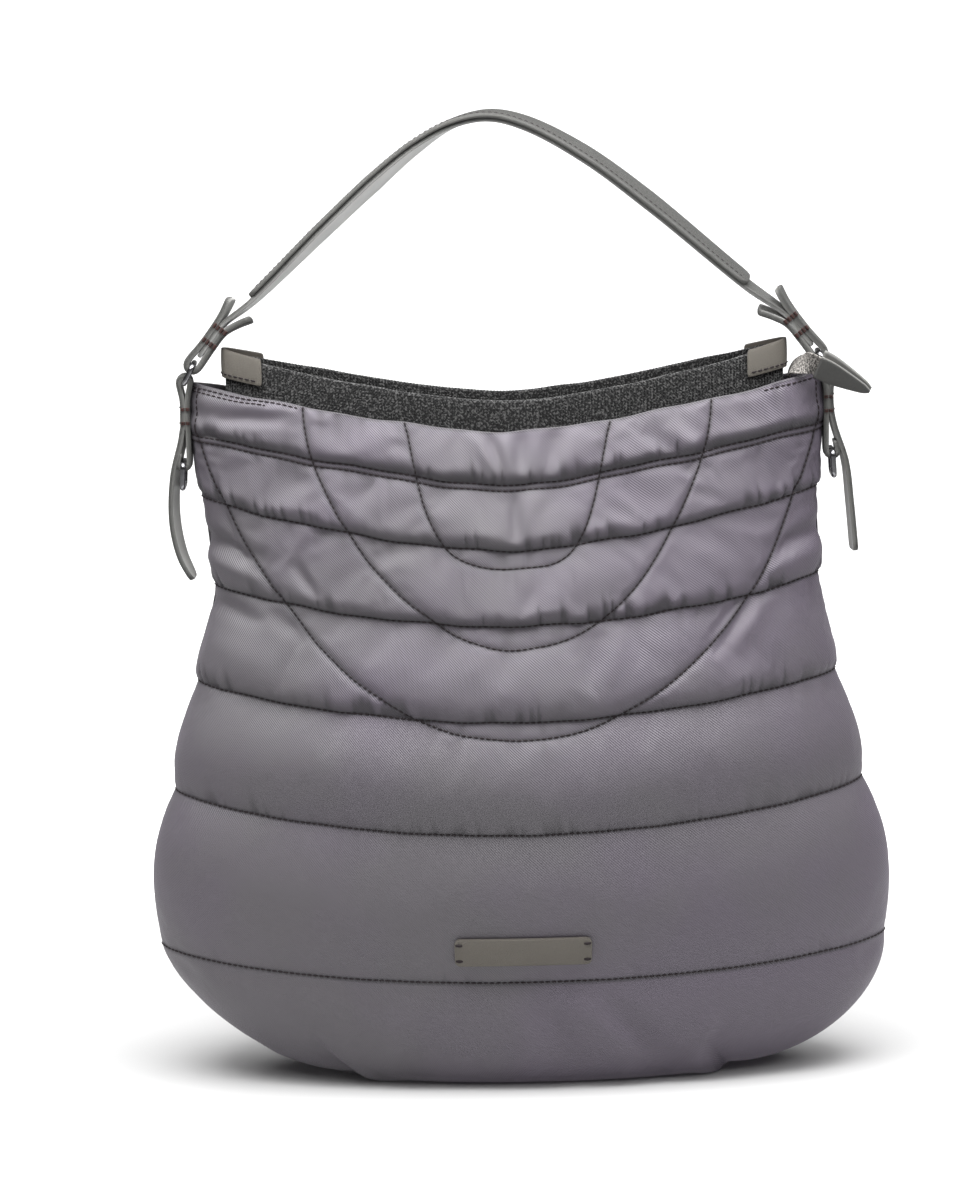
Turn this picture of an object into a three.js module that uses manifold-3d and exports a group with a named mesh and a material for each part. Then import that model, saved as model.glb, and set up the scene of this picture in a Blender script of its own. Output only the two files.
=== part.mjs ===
// Quilted hobo bag: two padded nylon shells sewn together round the sides and the base, a knitted
// collar in the mouth, and a leather handle linked by an oblong ring to a hanging strap at each side.
// Millimetres, +Z up, front towards -Y, origin on the floor under the middle of the body.
import * as THREE from "three";
import { mergeVertices } from "three/addons/utils/BufferGeometryUtils.js";
import Module from "manifold-3d";

const wasm = await Module();
wasm.setup();

// Clearance between neighbouring pieces
const GAP = 0.3;

// Quilting seams from the rim down. halfWidth and sideZ place the seam at the side of the body, midZ and
// depth place it at the middle of the front, lean shifts it sideways, sag shapes its dip (1 is a V and 2 a
// round bow), and puff is the swell of the padded channel below it.
const SEAMS = [
  { seam: "rim", halfWidth: 164, sideZ: 379.5, midZ: 353, depth: 30, lean: -4.5, sag: 1.25, puff: 4 },
  { seam: "a", halfWidth: 165, sideZ: 351, midZ: 323, depth: 36, lean: -4, sag: 1.05, puff: 4.5 },
  { seam: "b", halfWidth: 162, sideZ: 318, midZ: 290.5, depth: 43, lean: -3, sag: 1.4, puff: 5 },
  { seam: "c", halfWidth: 161, sideZ: 270.5, midZ: 251, depth: 50, lean: 0, sag: 1.7, puff: 5.5 },
  { seam: "d", halfWidth: 173, sideZ: 218, midZ: 201, depth: 58, lean: -1, sag: 1.65, puff: 6.5 },
  { seam: "e", halfWidth: 187, sideZ: 158, midZ: 141.5, depth: 66, lean: -1, sag: 1.9, puff: 7.5 },
  { seam: "f", halfWidth: 198, sideZ: 72, midZ: 61, depth: 70, lean: 0, sag: 2.2, puff: 3 },
];
// How far the point of a V-shaped dip is rounded, as a share of the half width
const SAG_ROUNDING = 0.12;
// The padding is pulled flatter towards the side seams
const SIDE_PUFF_LOSS = 0.15;
const LAST_SEAM = SEAMS.length - 1;
// Below the last seam the shell turns under, lies flat on the floor from floorRow on and ends at the base
// seam.
const BASE = { floorRow: 6.7, seamRow: 7, halfLength: 108, halfDepth: 48, seamHalfLength: 95 };
// The lower corners: 1 is a round quarter, and more cuts the corner flatter
const LOWER_CORNER = { left: 1.5, right: 1.1 };
const WALL = 3;
const PUFF_POWER = 3;
// Places in each channel, as shares of its height, that get a row of points
const CHANNEL_STEPS = [0, 0.15, 0.5, 0.85];
const BASE_ROWS = [6, 6.08, 6.2, 6.34, 6.48, 6.6, BASE.floorRow, 6.85, BASE.seamRow];
const COLUMNS = 32;
const SIDE_SPREAD = 0.2;

// Nested U seams on the front: top half width, lowest row, taper of the legs and squareness of the bend
const U_SEAMS = [
  { halfWidth: 55, lowestRow: 2.25, taper: 0.25, squareness: 4.5 },
  { halfWidth: 109, lowestRow: 3.27, taper: 0, squareness: 2 },
  { halfWidth: 173, lowestRow: 4.17, taper: 0, squareness: 2 },
];
const GROOVE = { halfWidth: 3, depth: 2.6, above: 6, steps: 22, sideLimit: 0.94 };
// Tucks sewn into the front and back where the base turns up
const TUCK = { x: 96, halfWidth: 12, depth: 7, row: 6.5, rowSpread: 0.16 };

const COLLAR = { halfLength: 150, halfDepth: 26.4, squareness: 2.2, wall: 3, below: 9 };
const KNIT_HEIGHT = { middle: 16, endRise: 3.5 };
const TAB = { sweep: 0.56, wall: 1.6, fromRim: 3, aboveKnit: 2.2 };
const LABEL = { halfWidth: 36.2, middleX: -0.7, lowZ: 71.5, highZ: 87.5, wall: 1.6, corner: 3 };

// Leather straps and metal rings. The bars of a ring are given by how far they stand out from the side of
// the body and by their height.
const STRAP = { width: 15, thickness: 2.4, spanSteps: 2 };
const RING = { wire: 1.5, halfSpan: 10.3, corner: 2.8 };
const BARS = { upper: { out: -2.1, z: 389 }, lower: { out: 2.9, z: 379.5 }, hanging: { out: 4.5, z: 336 } };
const HANGING_RING = { drop: 13, swing: 0.05 };
const BODY_SIDE = { left: -173.2, right: 164.6 };
const LOOP_RADIUS = RING.wire + GAP + STRAP.thickness / 2;

// Handle: the line through the middle of the strap, with the turn of its outer face towards the front
const HANDLE_START = { straight: [5.5, 18, 27], rise: 0.9 };
const HANDLE_LINE = [
  { x: -138.8, z: 422, roll: -8 },
  { x: -100, z: 458, roll: -15 },
  { x: -72, z: 483.3, roll: -17 },
  { x: -50, z: 501.5, roll: -12 },
  { x: -30, z: 513.5, roll: -4 },
  { x: -11, z: 517.9, roll: 2 },
  { x: 8, z: 513.8, roll: 6 },
  { x: 39, z: 497.2, roll: 10 },
  { x: 73.3, z: 471.4, roll: 12 },
  { x: 126.5, z: 426, roll: 9 },
];
const HANDLE = { strapWidth: 21, strapThickness: 1.8, coverWidth: 25, coverThickness: 2.4, spanSteps: 3 };
// The strip folded round the ring at each end of the handle: its two layers are sewn flat from foldEnd to
// sewnTo along the handle and splay beyond it, the inner one further than the outer one.
const HANDLE_LOOP = {
  foldEnd: 12,
  sewnTo: 23,
  innerSplay: [{ along: 31, away: 3.2 }, { along: 38.5, away: 7.6 }],
  outerSplay: [{ along: 32, away: 0.6 }, { along: 41, away: 2.4 }],
};

// The two legs of a side strap lie flat on the body between these heights; its other end is turned up by
// endRise behind the hanging ring. The tails are its free ends, from the seat at the rim down.
const SIDE_STRAP = { legTop: 370, outerLegFoot: 360, innerLegFoot: 350, endRise: 5.5, endInset: 1 };
const TAILS = {
  left: [
    { out: 5.2, z: 350 },
    { out: 12.3, z: 329 },
    { out: 14, z: 305 },
    { out: 10.6, z: 286 },
    { out: 4.6, z: 272.5 },
  ],
  right: [
    { out: 5.6, z: 350 },
    { out: 12.8, z: 330 },
    { out: 16, z: 308 },
    { out: 19, z: 281 },
  ],
};

// Zip end at the right corner: the leather end hangs in front of the ring, and the tape comes to it out of
// the mouth over the front rim. across is the direction over the width of the tape.
const ZIP_END = { from: [162, -16.5, 385.5], to: [191, -20.5, 374], across: [0.3, 0.32, 0.9] };
const ZIP_LEATHER = { halfWidth: 8.4, tipHalfWidth: 4, wall: 1.8, steps: 5 };
const ZIP_LINE = [
  { x: 148.4, y: -0.3, z: 366, across: [0, 1, 0] },
  { x: 148.8, y: -0.6, z: 377, across: [0, 1, 0.05] },
  { x: 150.4, y: -5.5, z: 384.5, across: [0.3, 0.85, 0.55] },
  { x: 154.5, y: -12.6, z: 387.2, across: [0.35, 0.55, 0.8] },
];
const ZIP_TAPE = { width: 10.2, thickness: 1.2, straight: [-4, 0, 9], steps: 21 };

const nylon = new THREE.MeshStandardMaterial({ color: 0x77727b, roughness: 0.55, metalness: 0 });
const knit = new THREE.MeshStandardMaterial({ color: 0x3c3c3d, roughness: 0.95, metalness: 0 });
const leather = new THREE.MeshStandardMaterial({ color: 0x6a6964, roughness: 0.5, metalness: 0 });
const taupeLeather = new THREE.MeshStandardMaterial({ color: 0x6d675f, roughness: 0.5, metalness: 0 });
const tapeCloth = new THREE.MeshStandardMaterial({ color: 0x615d5a, roughness: 0.9, metalness: 0 });
const gunmetal = new THREE.MeshStandardMaterial({ color: 0x55565a, roughness: 0.25, metalness: 1 });

// Geometry from points and triangles, turned inside out where its volume comes out negative
function closedGeometry(points, triangles) {
  const geometry = new THREE.BufferGeometry();
  const places = points.flatMap((p) => p.toArray());
  geometry.setAttribute("position", new THREE.Float32BufferAttribute(places, 3));
  const volume = triangles.reduce((sum, [a, b, c]) => {
    return sum + points[a].dot(points[b].clone().cross(points[c]));
  }, 0);
  const facing = volume < 0 ? triangles.map(([a, b, c]) => [a, c, b]) : triangles;
  geometry.setIndex(facing.flat());
  return geometry;
}

// A wall between two grids of points. The inner grid has every second row and column of the outer one.
function wallGeometry(outer, inner) {
  const points = [...outer.flat(), ...inner.flat()];
  const width = outer[0].length;
  const innerWidth = inner[0].length;
  const outerAt = (row, column) => row * width + column;
  const innerAt = (row, column) => outer.length * width + row * innerWidth + column;
  const step = (width - 1) / (innerWidth - 1);
  const triangles = [];
  const addGrid = (rows, columns, at, flipped) => {
    for (let row = 0; row < rows - 1; row += 1) {
      for (let column = 0; column < columns - 1; column += 1) {
        const quad = [at(row, column), at(row, column + 1), at(row + 1, column + 1), at(row + 1, column)];
        const [a, b, c, d] = flipped ? quad.reverse() : quad;
        triangles.push([a, b, c], [a, c, d]);
      }
    }
  };
  addGrid(outer.length, width, outerAt, false);
  addGrid(inner.length, innerWidth, innerAt, true);
  const outerEdge = gridEdge(outer.length, width).map(([row, column]) => outerAt(row, column));
  const innerEdge = gridEdge(inner.length, innerWidth).map(([row, column]) => innerAt(row, column));
  innerEdge.forEach((here, k) => {
    const next = innerEdge[(k + 1) % innerEdge.length];
    for (let m = 0; m < step; m += 1) {
      const near = outerEdge[k * step + m];
      const far = outerEdge[(k * step + m + 1) % outerEdge.length];
      triangles.push([far, near, here]);
    }
    triangles.push([here, next, outerEdge[((k + 1) * step) % outerEdge.length]]);
  });
  return closedGeometry(points, triangles);
}

// Rows and columns of the points once round the edge of a grid
function gridEdge(rows, columns) {
  const edge = [];
  for (let column = 0; column < columns - 1; column += 1) edge.push([0, column]);
  for (let row = 0; row < rows - 1; row += 1) edge.push([row, columns - 1]);
  for (let column = columns - 1; column > 0; column -= 1) edge.push([rows - 1, column]);
  for (let row = rows - 1; row > 0; row -= 1) edge.push([row, 0]);
  return edge;
}

// A solid through sections with equal numbers of points: capped at both ends, or closed on itself
function sectionGeometry(sections, closed = false) {
  const size = sections[0].length;
  const count = sections.length;
  const triangles = [];
  for (let k = 0; k < (closed ? count : count - 1); k += 1) {
    const near = k * size;
    const far = ((k + 1) % count) * size;
    for (let m = 0; m < size; m += 1) {
      const next = (m + 1) % size;
      triangles.push([near + m, near + next, far + next], [near + m, far + next, far + m]);
    }
  }
  if (!closed) {
    const last = (count - 1) * size;
    capTriangles(sections[0]).forEach(([a, b, c]) => {
      triangles.push([a, c, b], [last + a, last + b, last + c]);
    });
  }
  return closedGeometry(sections.flat(), triangles);
}

// Triangles that fill a flat section, worked out in the two directions that it spans most
function capTriangles(section) {
  const middle = section.reduce((sum, p) => sum.add(p), new THREE.Vector3()).divideScalar(section.length);
  const spokes = section.map((p) => p.clone().sub(middle));
  const normal = new THREE.Vector3();
  spokes.forEach((p, k) => normal.add(p.clone().cross(spokes[(k + 1) % spokes.length])));
  normal.normalize();
  const first = spokes[0].clone().normalize();
  const second = normal.clone().cross(first);
  const outline = spokes.map((p) => new THREE.Vector2(p.dot(first), p.dot(second)));
  return THREE.ShapeUtils.triangulateShape(outline, []);
}

function asSolid(geometry) {
  const merged = mergeVertices(geometry, 1e-4);
  return new wasm.Manifold(new wasm.Mesh({
    numProp: 3,
    vertProperties: new Float32Array(merged.attributes.position.array),
    triVerts: new Uint32Array(merged.index.array),
  }));
}

function asGeometry(solid) {
  const mesh = solid.getMesh();
  const geometry = new THREE.BufferGeometry();
  geometry.setAttribute("position", new THREE.BufferAttribute(new Float32Array(mesh.vertProperties), 3));
  geometry.setIndex(new THREE.BufferAttribute(new Uint32Array(mesh.triVerts), 1));
  return geometry;
}

const clamp = THREE.MathUtils.clamp;

// Sizes of the body at any row: a smooth curve through the seams, then a quarter turn under to the floor.
// The turn differs between the left and right corners.
function bodyRow(row, onLeft) {
  const foot = SEAMS[LAST_SEAM];
  if (row > BASE.floorRow) {
    const inward = (row - BASE.floorRow) / (BASE.seamRow - BASE.floorRow);
    const halfWidth = BASE.halfLength + (BASE.seamHalfLength - BASE.halfLength) * inward;
    const depth = BASE.halfDepth * (1 - inward);
    return { halfWidth, sideZ: 0, midZ: 0, depth, lean: 0, sag: foot.sag };
  }
  if (row > LAST_SEAM) {
    const turn = ((row - LAST_SEAM) / (BASE.floorRow - LAST_SEAM)) * (Math.PI / 2);
    const corner = onLeft ? LOWER_CORNER.left : LOWER_CORNER.right;
    return {
      halfWidth: BASE.halfLength + (foot.halfWidth - BASE.halfLength) * Math.cos(turn) ** corner,
      sideZ: foot.sideZ * (1 - Math.sin(turn) ** corner),
      midZ: foot.midZ * (1 - Math.sin(turn)),
      depth: BASE.halfDepth + (foot.depth - BASE.halfDepth) * Math.cos(turn),
      lean: 0,
      sag: foot.sag,
    };
  }
  const from = Math.min(Math.floor(row), LAST_SEAM - 1);
  const near = [from - 1, from, from + 1, from + 2].map((k) => SEAMS[clamp(k, 0, LAST_SEAM)]);
  const t = row - from;
  const smooth = (column) => {
    const [before, start, end, after] = near.map((entry) => entry[column]);
    const startSlope = (end - before) / 2;
    const endSlope = (after - start) / 2;
    const cubic = 2 * start - 2 * end + startSlope + endSlope;
    const square = -3 * start + 3 * end - 2 * startSlope - endSlope;
    return ((cubic * t + square) * t + startSlope) * t + start;
  };
  const columns = ["halfWidth", "sideZ", "midZ", "depth", "lean", "sag"];
  return Object.fromEntries(columns.map((column) => [column, smooth(column)]));
}

// Share of a seam's dip that is left at a share of the half width: 0 in the middle and 1 at the side
function dipShare(across, sag) {
  const round = SAG_ROUNDING ** sag;
  const rise = (share) => (share ** 2 + SAG_ROUNDING ** 2) ** (sag / 2) - round;
  return rise(across) / rise(1);
}

// A point of the front shell on its seam surface: side runs from -1 at the left seam to 1 at the right one
function shellPoint(side, row) {
  const size = bodyRow(row, side < 0);
  const across = Math.sin((side * Math.PI) / 2);
  const forward = Math.cos((side * Math.PI) / 2);
  return new THREE.Vector3(
    size.lean + size.halfWidth * across,
    -(GAP / 2 + size.depth * forward),
    size.midZ + (size.sideZ - size.midZ) * dipShare(across, size.sag),
  );
}

// The outward direction there, which stays in the plane of the side and base seams along those seams
function shellNormal(side, row) {
  const step = 0.01;
  const s = clamp(side, -1 + 2 * step, 1 - 2 * step);
  const w = clamp(row, step, BASE.seamRow - step);
  const alongSide = shellPoint(s + step, w).sub(shellPoint(s - step, w));
  const alongRow = shellPoint(s, w + step).sub(shellPoint(s, w - step));
  const normal = alongRow.cross(alongSide).normalize();
  if (Math.abs(side) === 1 || row === BASE.seamRow) normal.setY(0).normalize();
  return normal;
}

// How far the padding stands off the seam surface: a flat-topped swell in each channel, less the tucks
function padding(side, row) {
  const channel = Math.min(Math.floor(row), LAST_SEAM);
  const height = channel === LAST_SEAM ? BASE.floorRow - LAST_SEAM : 1;
  const t = clamp((row - channel) / height, 0, 1);
  const fullness = 1 - SIDE_PUFF_LOSS * Math.sin((side * Math.PI) / 2) ** 4;
  const swell = SEAMS[channel].puff * fullness * (1 - Math.abs(2 * t - 1) ** PUFF_POWER);
  const fromTuck = (Math.abs(shellPoint(side, row).x) - TUCK.x) / TUCK.halfWidth;
  const fromTuckRow = (row - TUCK.row) / TUCK.rowSpread;
  const tuck = row < BASE.floorRow ? TUCK.depth * Math.exp(-(fromTuck ** 2) - fromTuckRow ** 2) : 0;
  return swell - tuck;
}

// The padded surface, pressed flat where it would reach below the floor
function padSurface(side, row, lift = 0) {
  const offset = padding(side, row) + lift;
  const point = shellPoint(side, row).addScaledVector(shellNormal(side, row), offset);
  return point.setZ(Math.max(point.z, 0));
}

// The front shell as a padded wall. The columns stand closer together at the sides, where it curves most.
function shellGeometry() {
  const rows = SEAMS.slice(0, LAST_SEAM).flatMap((entry, k) => CHANNEL_STEPS.map((t) => k + t));
  rows.push(...BASE_ROWS);
  const columns = Array.from({ length: COLUMNS + 1 }, (unused, k) => {
    const even = (2 * k) / COLUMNS - 1;
    return even * (1 - SIDE_SPREAD * (1 - even ** 2));
  });
  const outer = rows.map((row) => columns.map((side) => padSurface(side, row)));
  const everySecond = (unused, k) => k % 2 === 0;
  const inner = rows.filter(everySecond).map((row) => {
    return columns.filter(everySecond).map((side) => {
      return shellPoint(side, row).addScaledVector(shellNormal(side, row), -WALL);
    });
  });
  return wallGeometry(outer, inner);
}

// Where a U seam runs on the shell: a squared half oval from one leg over the bend to the other leg
function uSeamRoute({ halfWidth, lowestRow, taper, squareness }) {
  const route = [];
  for (let k = 0; k <= GROOVE.steps; k += 1) {
    const turn = Math.PI * (1 - k / GROOVE.steps);
    const down = Math.abs(Math.sin(turn)) ** (2 / squareness);
    const across = Math.sign(Math.cos(turn)) * Math.abs(Math.cos(turn)) ** (2 / squareness);
    const row = lowestRow * down;
    const share = (halfWidth * (1 - taper * down) * across) / bodyRow(row, across < 0).halfWidth;
    if (Math.abs(share) < GROOVE.sideLimit) route.push({ side: (2 / Math.PI) * Math.asin(share), row });
  }
  return route;
}

// The cutter that presses a U seam into the padding
function grooveGeometry(useam) {
  const route = uSeamRoute(useam);
  const seats = route.map(({ side, row }) => padSurface(side, row));
  const sections = route.map(({ side, row }, k) => {
    const before = seats[Math.max(k - 1, 0)];
    const after = seats[Math.min(k + 1, seats.length - 1)];
    const normal = shellNormal(side, row);
    const across = after.clone().sub(before).cross(normal).normalize();
    const atRim = row < 0.01;
    const lift = new THREE.Vector3(0, 0, atRim ? GROOVE.depth : 0);
    const seat = seats[k].clone().add(lift);
    return [
      seat.clone().addScaledVector(normal, GROOVE.above),
      seat.clone().addScaledVector(across, GROOVE.halfWidth),
      seat.clone().addScaledVector(normal, -GROOVE.depth),
      seat.clone().addScaledVector(across, -GROOVE.halfWidth),
    ];
  });
  return sectionGeometry(sections);
}

// The back shell is the front one turned round; its lean and its seams run on through the side seams
function backGeometry() {
  const geometry = shellGeometry();
  geometry.scale(1, -1, 1);
  geometry.setIndex(Array.from(geometry.index.array).reverse());
  return geometry;
}

// Height of the nylon rim over a place across the bag
function rimZ(x) {
  const { lean, halfWidth, midZ, sideZ, sag } = SEAMS[0];
  return midZ + (sideZ - midZ) * dipShare((x - lean) / halfWidth, sag);
}

// The collar's outline from above, set inwards by a distance, with angle 0 at the right end
function collarPoint(angle, inset, rise) {
  const power = 2 / COLLAR.squareness;
  const oval = (value) => Math.sign(value) * Math.abs(value) ** power;
  const x = SEAMS[0].lean + (COLLAR.halfLength - inset) * oval(Math.cos(angle));
  const y = (COLLAR.halfDepth - inset) * oval(Math.sin(angle));
  return new THREE.Vector3(x, y, rimZ(x) + rise);
}

// Height of the knit above the nylon rim, a little more towards the ends
function knitHeight(angle) {
  return KNIT_HEIGHT.middle + KNIT_HEIGHT.endRise * Math.cos(angle) ** 2;
}

function collarGeometry() {
  const steps = 48;
  const lip = COLLAR.wall / 2;
  const sections = Array.from({ length: steps }, (unused, k) => {
    const angle = (2 * Math.PI * k) / steps;
    const top = knitHeight(angle);
    return [
      collarPoint(angle, 0, -COLLAR.below),
      collarPoint(angle, 0, top - lip),
      collarPoint(angle, lip, top),
      collarPoint(angle, COLLAR.wall, top - lip),
      collarPoint(angle, COLLAR.wall, -COLLAR.below),
    ];
  });
  return sectionGeometry(sections, true);
}

// A leather tab folded round one end of the collar
function collarTabGeometry(endAngle) {
  const steps = 14;
  const near = -GAP;
  const far = -GAP - TAB.wall;
  const sections = Array.from({ length: steps + 1 }, (unused, k) => {
    const angle = endAngle + TAB.sweep * ((2 * k) / steps - 1);
    const top = knitHeight(angle) + TAB.aboveKnit;
    return [
      collarPoint(angle, near, TAB.fromRim),
      collarPoint(angle, far, TAB.fromRim),
      collarPoint(angle, far, top),
      collarPoint(angle, near, top),
    ];
  });
  return sectionGeometry(sections);
}

// The place on the front shell at a given x and height, found by halving the rows near the last seam
function frontPlace(x, z) {
  const halvings = 30;
  let low = LAST_SEAM - 1;
  let high = LAST_SEAM + 0.3;
  const sideAt = (row) => {
    const size = bodyRow(row, x < 0);
    return (2 / Math.PI) * Math.asin((x - size.lean) / size.halfWidth);
  };
  for (let k = 0; k < halvings; k += 1) {
    const middle = (low + high) / 2;
    if (padSurface(sideAt(middle), middle).z > z) low = middle;
    else high = middle;
  }
  return { row: low, side: sideAt(low) };
}

// A thin patch that follows the padded front, with its corners cut round
function labelGeometry() {
  const heights = [0, 0.2, 0.5, 0.8, 1];
  const places = [-1, -0.92, -0.7, -0.35, 0, 0.35, 0.7, 0.92, 1];
  const skin = (lift) => heights.map((share, k) => places.map((place) => {
    const atEnd = k === 0 || k === heights.length - 1;
    const half = LABEL.halfWidth - (atEnd ? LABEL.corner : 0);
    const x = LABEL.middleX + half * place;
    const { side, row } = frontPlace(x, LABEL.lowZ + (LABEL.highZ - LABEL.lowZ) * (1 - share));
    return padSurface(side, row, lift);
  }));
  const everySecond = (unused, k) => k % 2 === 0;
  const inner = skin(2 * GAP).filter(everySecond).map((line) => line.filter(everySecond));
  return wallGeometry(skin(2 * GAP + LABEL.wall), inner);
}

// Frames along a curve in the plane of the handle, a few to each span between its points: the point, the
// direction across the strap and the direction out from it. roll gives the turn of the strap at each point.
function strapFrames(points, spanSteps, rolls = points.map(() => 0)) {
  const curve = new THREE.CatmullRomCurve3(points, false, "centripetal");
  const spans = points.length - 1;
  return Array.from({ length: spans * spanSteps + 1 }, (unused, k) => {
    const place = k / spanSteps;
    const from = Math.min(Math.floor(place), spans - 1);
    const tangent = curve.getTangent(place / spans);
    const flatOut = new THREE.Vector3(-tangent.z, 0, tangent.x);
    const roll = THREE.MathUtils.degToRad(THREE.MathUtils.lerp(rolls[from], rolls[from + 1], place - from));
    const depth = new THREE.Vector3(0, 1, 0);
    return {
      place,
      point: curve.getPoint(place / spans),
      out: flatOut.clone().multiplyScalar(Math.cos(roll)).addScaledVector(depth, -Math.sin(roll)),
      across: depth.clone().multiplyScalar(Math.cos(roll)).addScaledVector(flatOut, Math.sin(roll)),
    };
  });
}

// A strap along frames: profile gives the section as places across it and out from it
function strapGeometry(frames, profile) {
  return sectionGeometry(frames.map((frame) => profile(frame.place).map(([across, out]) => {
    return frame.point.clone().addScaledVector(frame.across, across).addScaledVector(frame.out, out);
  })));
}

function flatProfile(width, low, high) {
  return [[-width / 2, low], [width / 2, low], [width / 2, high], [-width / 2, high]];
}

const sideX = (side, out) => (side === "left" ? BODY_SIDE.left - out : BODY_SIDE.right + out);
const barPoint = (side, bar) => new THREE.Vector3(sideX(side, bar.out), 0, bar.z);

// The direction in which the handle leaves the ring, and its outer side
function handleDirection(side) {
  const inward = side === "left" ? 1 : -1;
  const along = new THREE.Vector3(inward * Math.cos(HANDLE_START.rise), 0, Math.sin(HANDLE_START.rise));
  const outer = new THREE.Vector3(-inward * Math.sin(HANDLE_START.rise), 0, Math.cos(HANDLE_START.rise));
  return { along, outer };
}

// Frames of the whole handle, and the places where its cover starts and ends
function handleFrames() {
  const endPoint = (side, distance) => {
    return barPoint(side, BARS.upper).addScaledVector(handleDirection(side).along, distance);
  };
  const points = [
    ...HANDLE_START.straight.map((distance) => endPoint("left", distance)),
    ...HANDLE_LINE.map(({ x, z }) => new THREE.Vector3(x, 0, z)),
    ...HANDLE_START.straight.map((distance) => endPoint("right", distance)).reverse(),
  ];
  const unturned = HANDLE_START.straight.map(() => 0);
  const rolls = [...unturned, ...HANDLE_LINE.map(({ roll }) => roll), ...unturned];
  return strapFrames(points, HANDLE.spanSteps, rolls);
}
const COVER_START = HANDLE_START.straight.length;
const COVER_END = COVER_START + HANDLE_LINE.length - 1;

// The strap has the width of its loops at both ends and widens up to the cover
function handleStrapGeometry() {
  const half = HANDLE.strapThickness / 2;
  const widthAt = (place) => {
    const toCover = 1 - Math.max(COVER_START - place, place - COVER_END, 0);
    return THREE.MathUtils.lerp(STRAP.width, HANDLE.strapWidth, THREE.MathUtils.smoothstep(toCover, 0, 1));
  };
  return strapGeometry(handleFrames(), (place) => flatProfile(widthAt(place), -half, half));
}

// The cover lies on the outer face with rounded edges
function handleCoverGeometry() {
  const low = HANDLE.strapThickness / 2 + GAP;
  const high = low + HANDLE.coverThickness;
  const half = HANDLE.coverWidth / 2;
  const bevel = HANDLE.coverThickness / 2;
  const profile = [
    [half, low],
    [-half, low],
    [-half, high - bevel],
    [bevel - half, high],
    [half - bevel, high],
    [half, high - bevel],
  ];
  const frames = handleFrames().filter(({ place }) => place >= COVER_START && place <= COVER_END);
  return strapGeometry(frames, () => profile);
}

// Points of a half turn round a bar, from one angle to another, in the plane of the strap
function turnRound(middle, first, second, startAngle, endAngle) {
  const steps = 6;
  return Array.from({ length: steps + 1 }, (unused, k) => {
    const angle = startAngle + ((endAngle - startAngle) * k) / steps;
    return middle.clone()
      .addScaledVector(first, LOOP_RADIUS * Math.cos(angle))
      .addScaledVector(second, LOOP_RADIUS * Math.sin(angle));
  });
}

// The leather strip folded round the ring, its two ends splayed beyond the sewn part
function handleLoopGeometry(side) {
  const bar = barPoint(side, BARS.upper);
  const { along, outer } = handleDirection(side);
  const place = (distance, offset) => {
    return bar.clone().addScaledVector(along, distance).addScaledVector(outer, offset);
  };
  const leg = (HANDLE.strapThickness + STRAP.thickness) / 2 + GAP;
  const { foldEnd, sewnTo, innerSplay, outerSplay } = HANDLE_LOOP;
  const points = [
    ...innerSplay.map((splay) => place(splay.along, -leg - splay.away)).reverse(),
    place(sewnTo, -leg),
    place(foldEnd, -leg),
    ...turnRound(bar, along, outer, -Math.PI / 2, (-3 * Math.PI) / 2),
    place(foldEnd, leg),
    place(sewnTo, leg),
    ...outerSplay.map((splay) => place(splay.along, leg + splay.away)),
  ];
  const frames = strapFrames(points, STRAP.spanSteps);
  const half = STRAP.thickness / 2;
  return strapGeometry(frames, () => flatProfile(STRAP.width, -half, half));
}

// A side strap from the tip of its tail up over the ring, down along the body and round the hanging ring
function sideStrapGeometry(side) {
  const outward = new THREE.Vector3(side === "left" ? -1 : 1, 0, 0);
  const up = new THREE.Vector3(0, 0, 1);
  const place = (out, z) => new THREE.Vector3(sideX(side, out), 0, z);
  const innerLeg = GAP + STRAP.thickness / 2;
  const outerLeg = innerLeg + STRAP.thickness + GAP;
  const tail = TAILS[side].map(({ out, z }) => place(out, z)).reverse();
  const points = [
    ...tail,
    place(outerLeg, SIDE_STRAP.outerLegFoot),
    place(outerLeg, SIDE_STRAP.legTop),
    ...turnRound(barPoint(side, BARS.lower), outward, up, 0, Math.PI),
    place(innerLeg, SIDE_STRAP.legTop),
    place(innerLeg, SIDE_STRAP.innerLegFoot),
    ...turnRound(barPoint(side, BARS.hanging), outward, up, Math.PI, 2 * Math.PI),
    place(BARS.hanging.out + LOOP_RADIUS - SIDE_STRAP.endInset, BARS.hanging.z + SIDE_STRAP.endRise),
  ];
  const frames = strapFrames(points, STRAP.spanSteps);
  const half = STRAP.thickness / 2;
  return strapGeometry(frames, () => flatProfile(STRAP.width, -half, half));
}

// A round-cornered wire ring between two bars that lie across the bag
function ringGeometry(upperBar, lowerBar) {
  const sides = 6;
  const cornerSteps = 3;
  const middle = upperBar.clone().add(lowerBar).divideScalar(2);
  const across = new THREE.Vector3(0, 1, 0);
  const up = upperBar.clone().sub(lowerBar).normalize();
  const normal = across.clone().cross(up);
  const halfHeight = upperBar.distanceTo(lowerBar) / 2;
  const sections = [];
  [[1, 1], [-1, 1], [-1, -1], [1, -1]].forEach(([sideSign, upSign], quarter) => {
    for (let k = 0; k <= cornerSteps; k += 1) {
      const angle = (Math.PI / 2) * (quarter + k / cornerSteps);
      const radial = across.clone().multiplyScalar(Math.cos(angle)).addScaledVector(up, Math.sin(angle));
      const seat = middle.clone()
        .addScaledVector(across, sideSign * (RING.halfSpan - RING.corner))
        .addScaledVector(up, upSign * (halfHeight - RING.corner))
        .addScaledVector(radial, RING.corner);
      sections.push(Array.from({ length: sides }, (unused, m) => {
        const around = (2 * Math.PI * m) / sides;
        return seat.clone()
          .addScaledVector(radial, RING.wire * Math.cos(around))
          .addScaledVector(normal, RING.wire * Math.sin(around));
      }));
    }
  });
  return sectionGeometry(sections, true);
}

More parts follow.
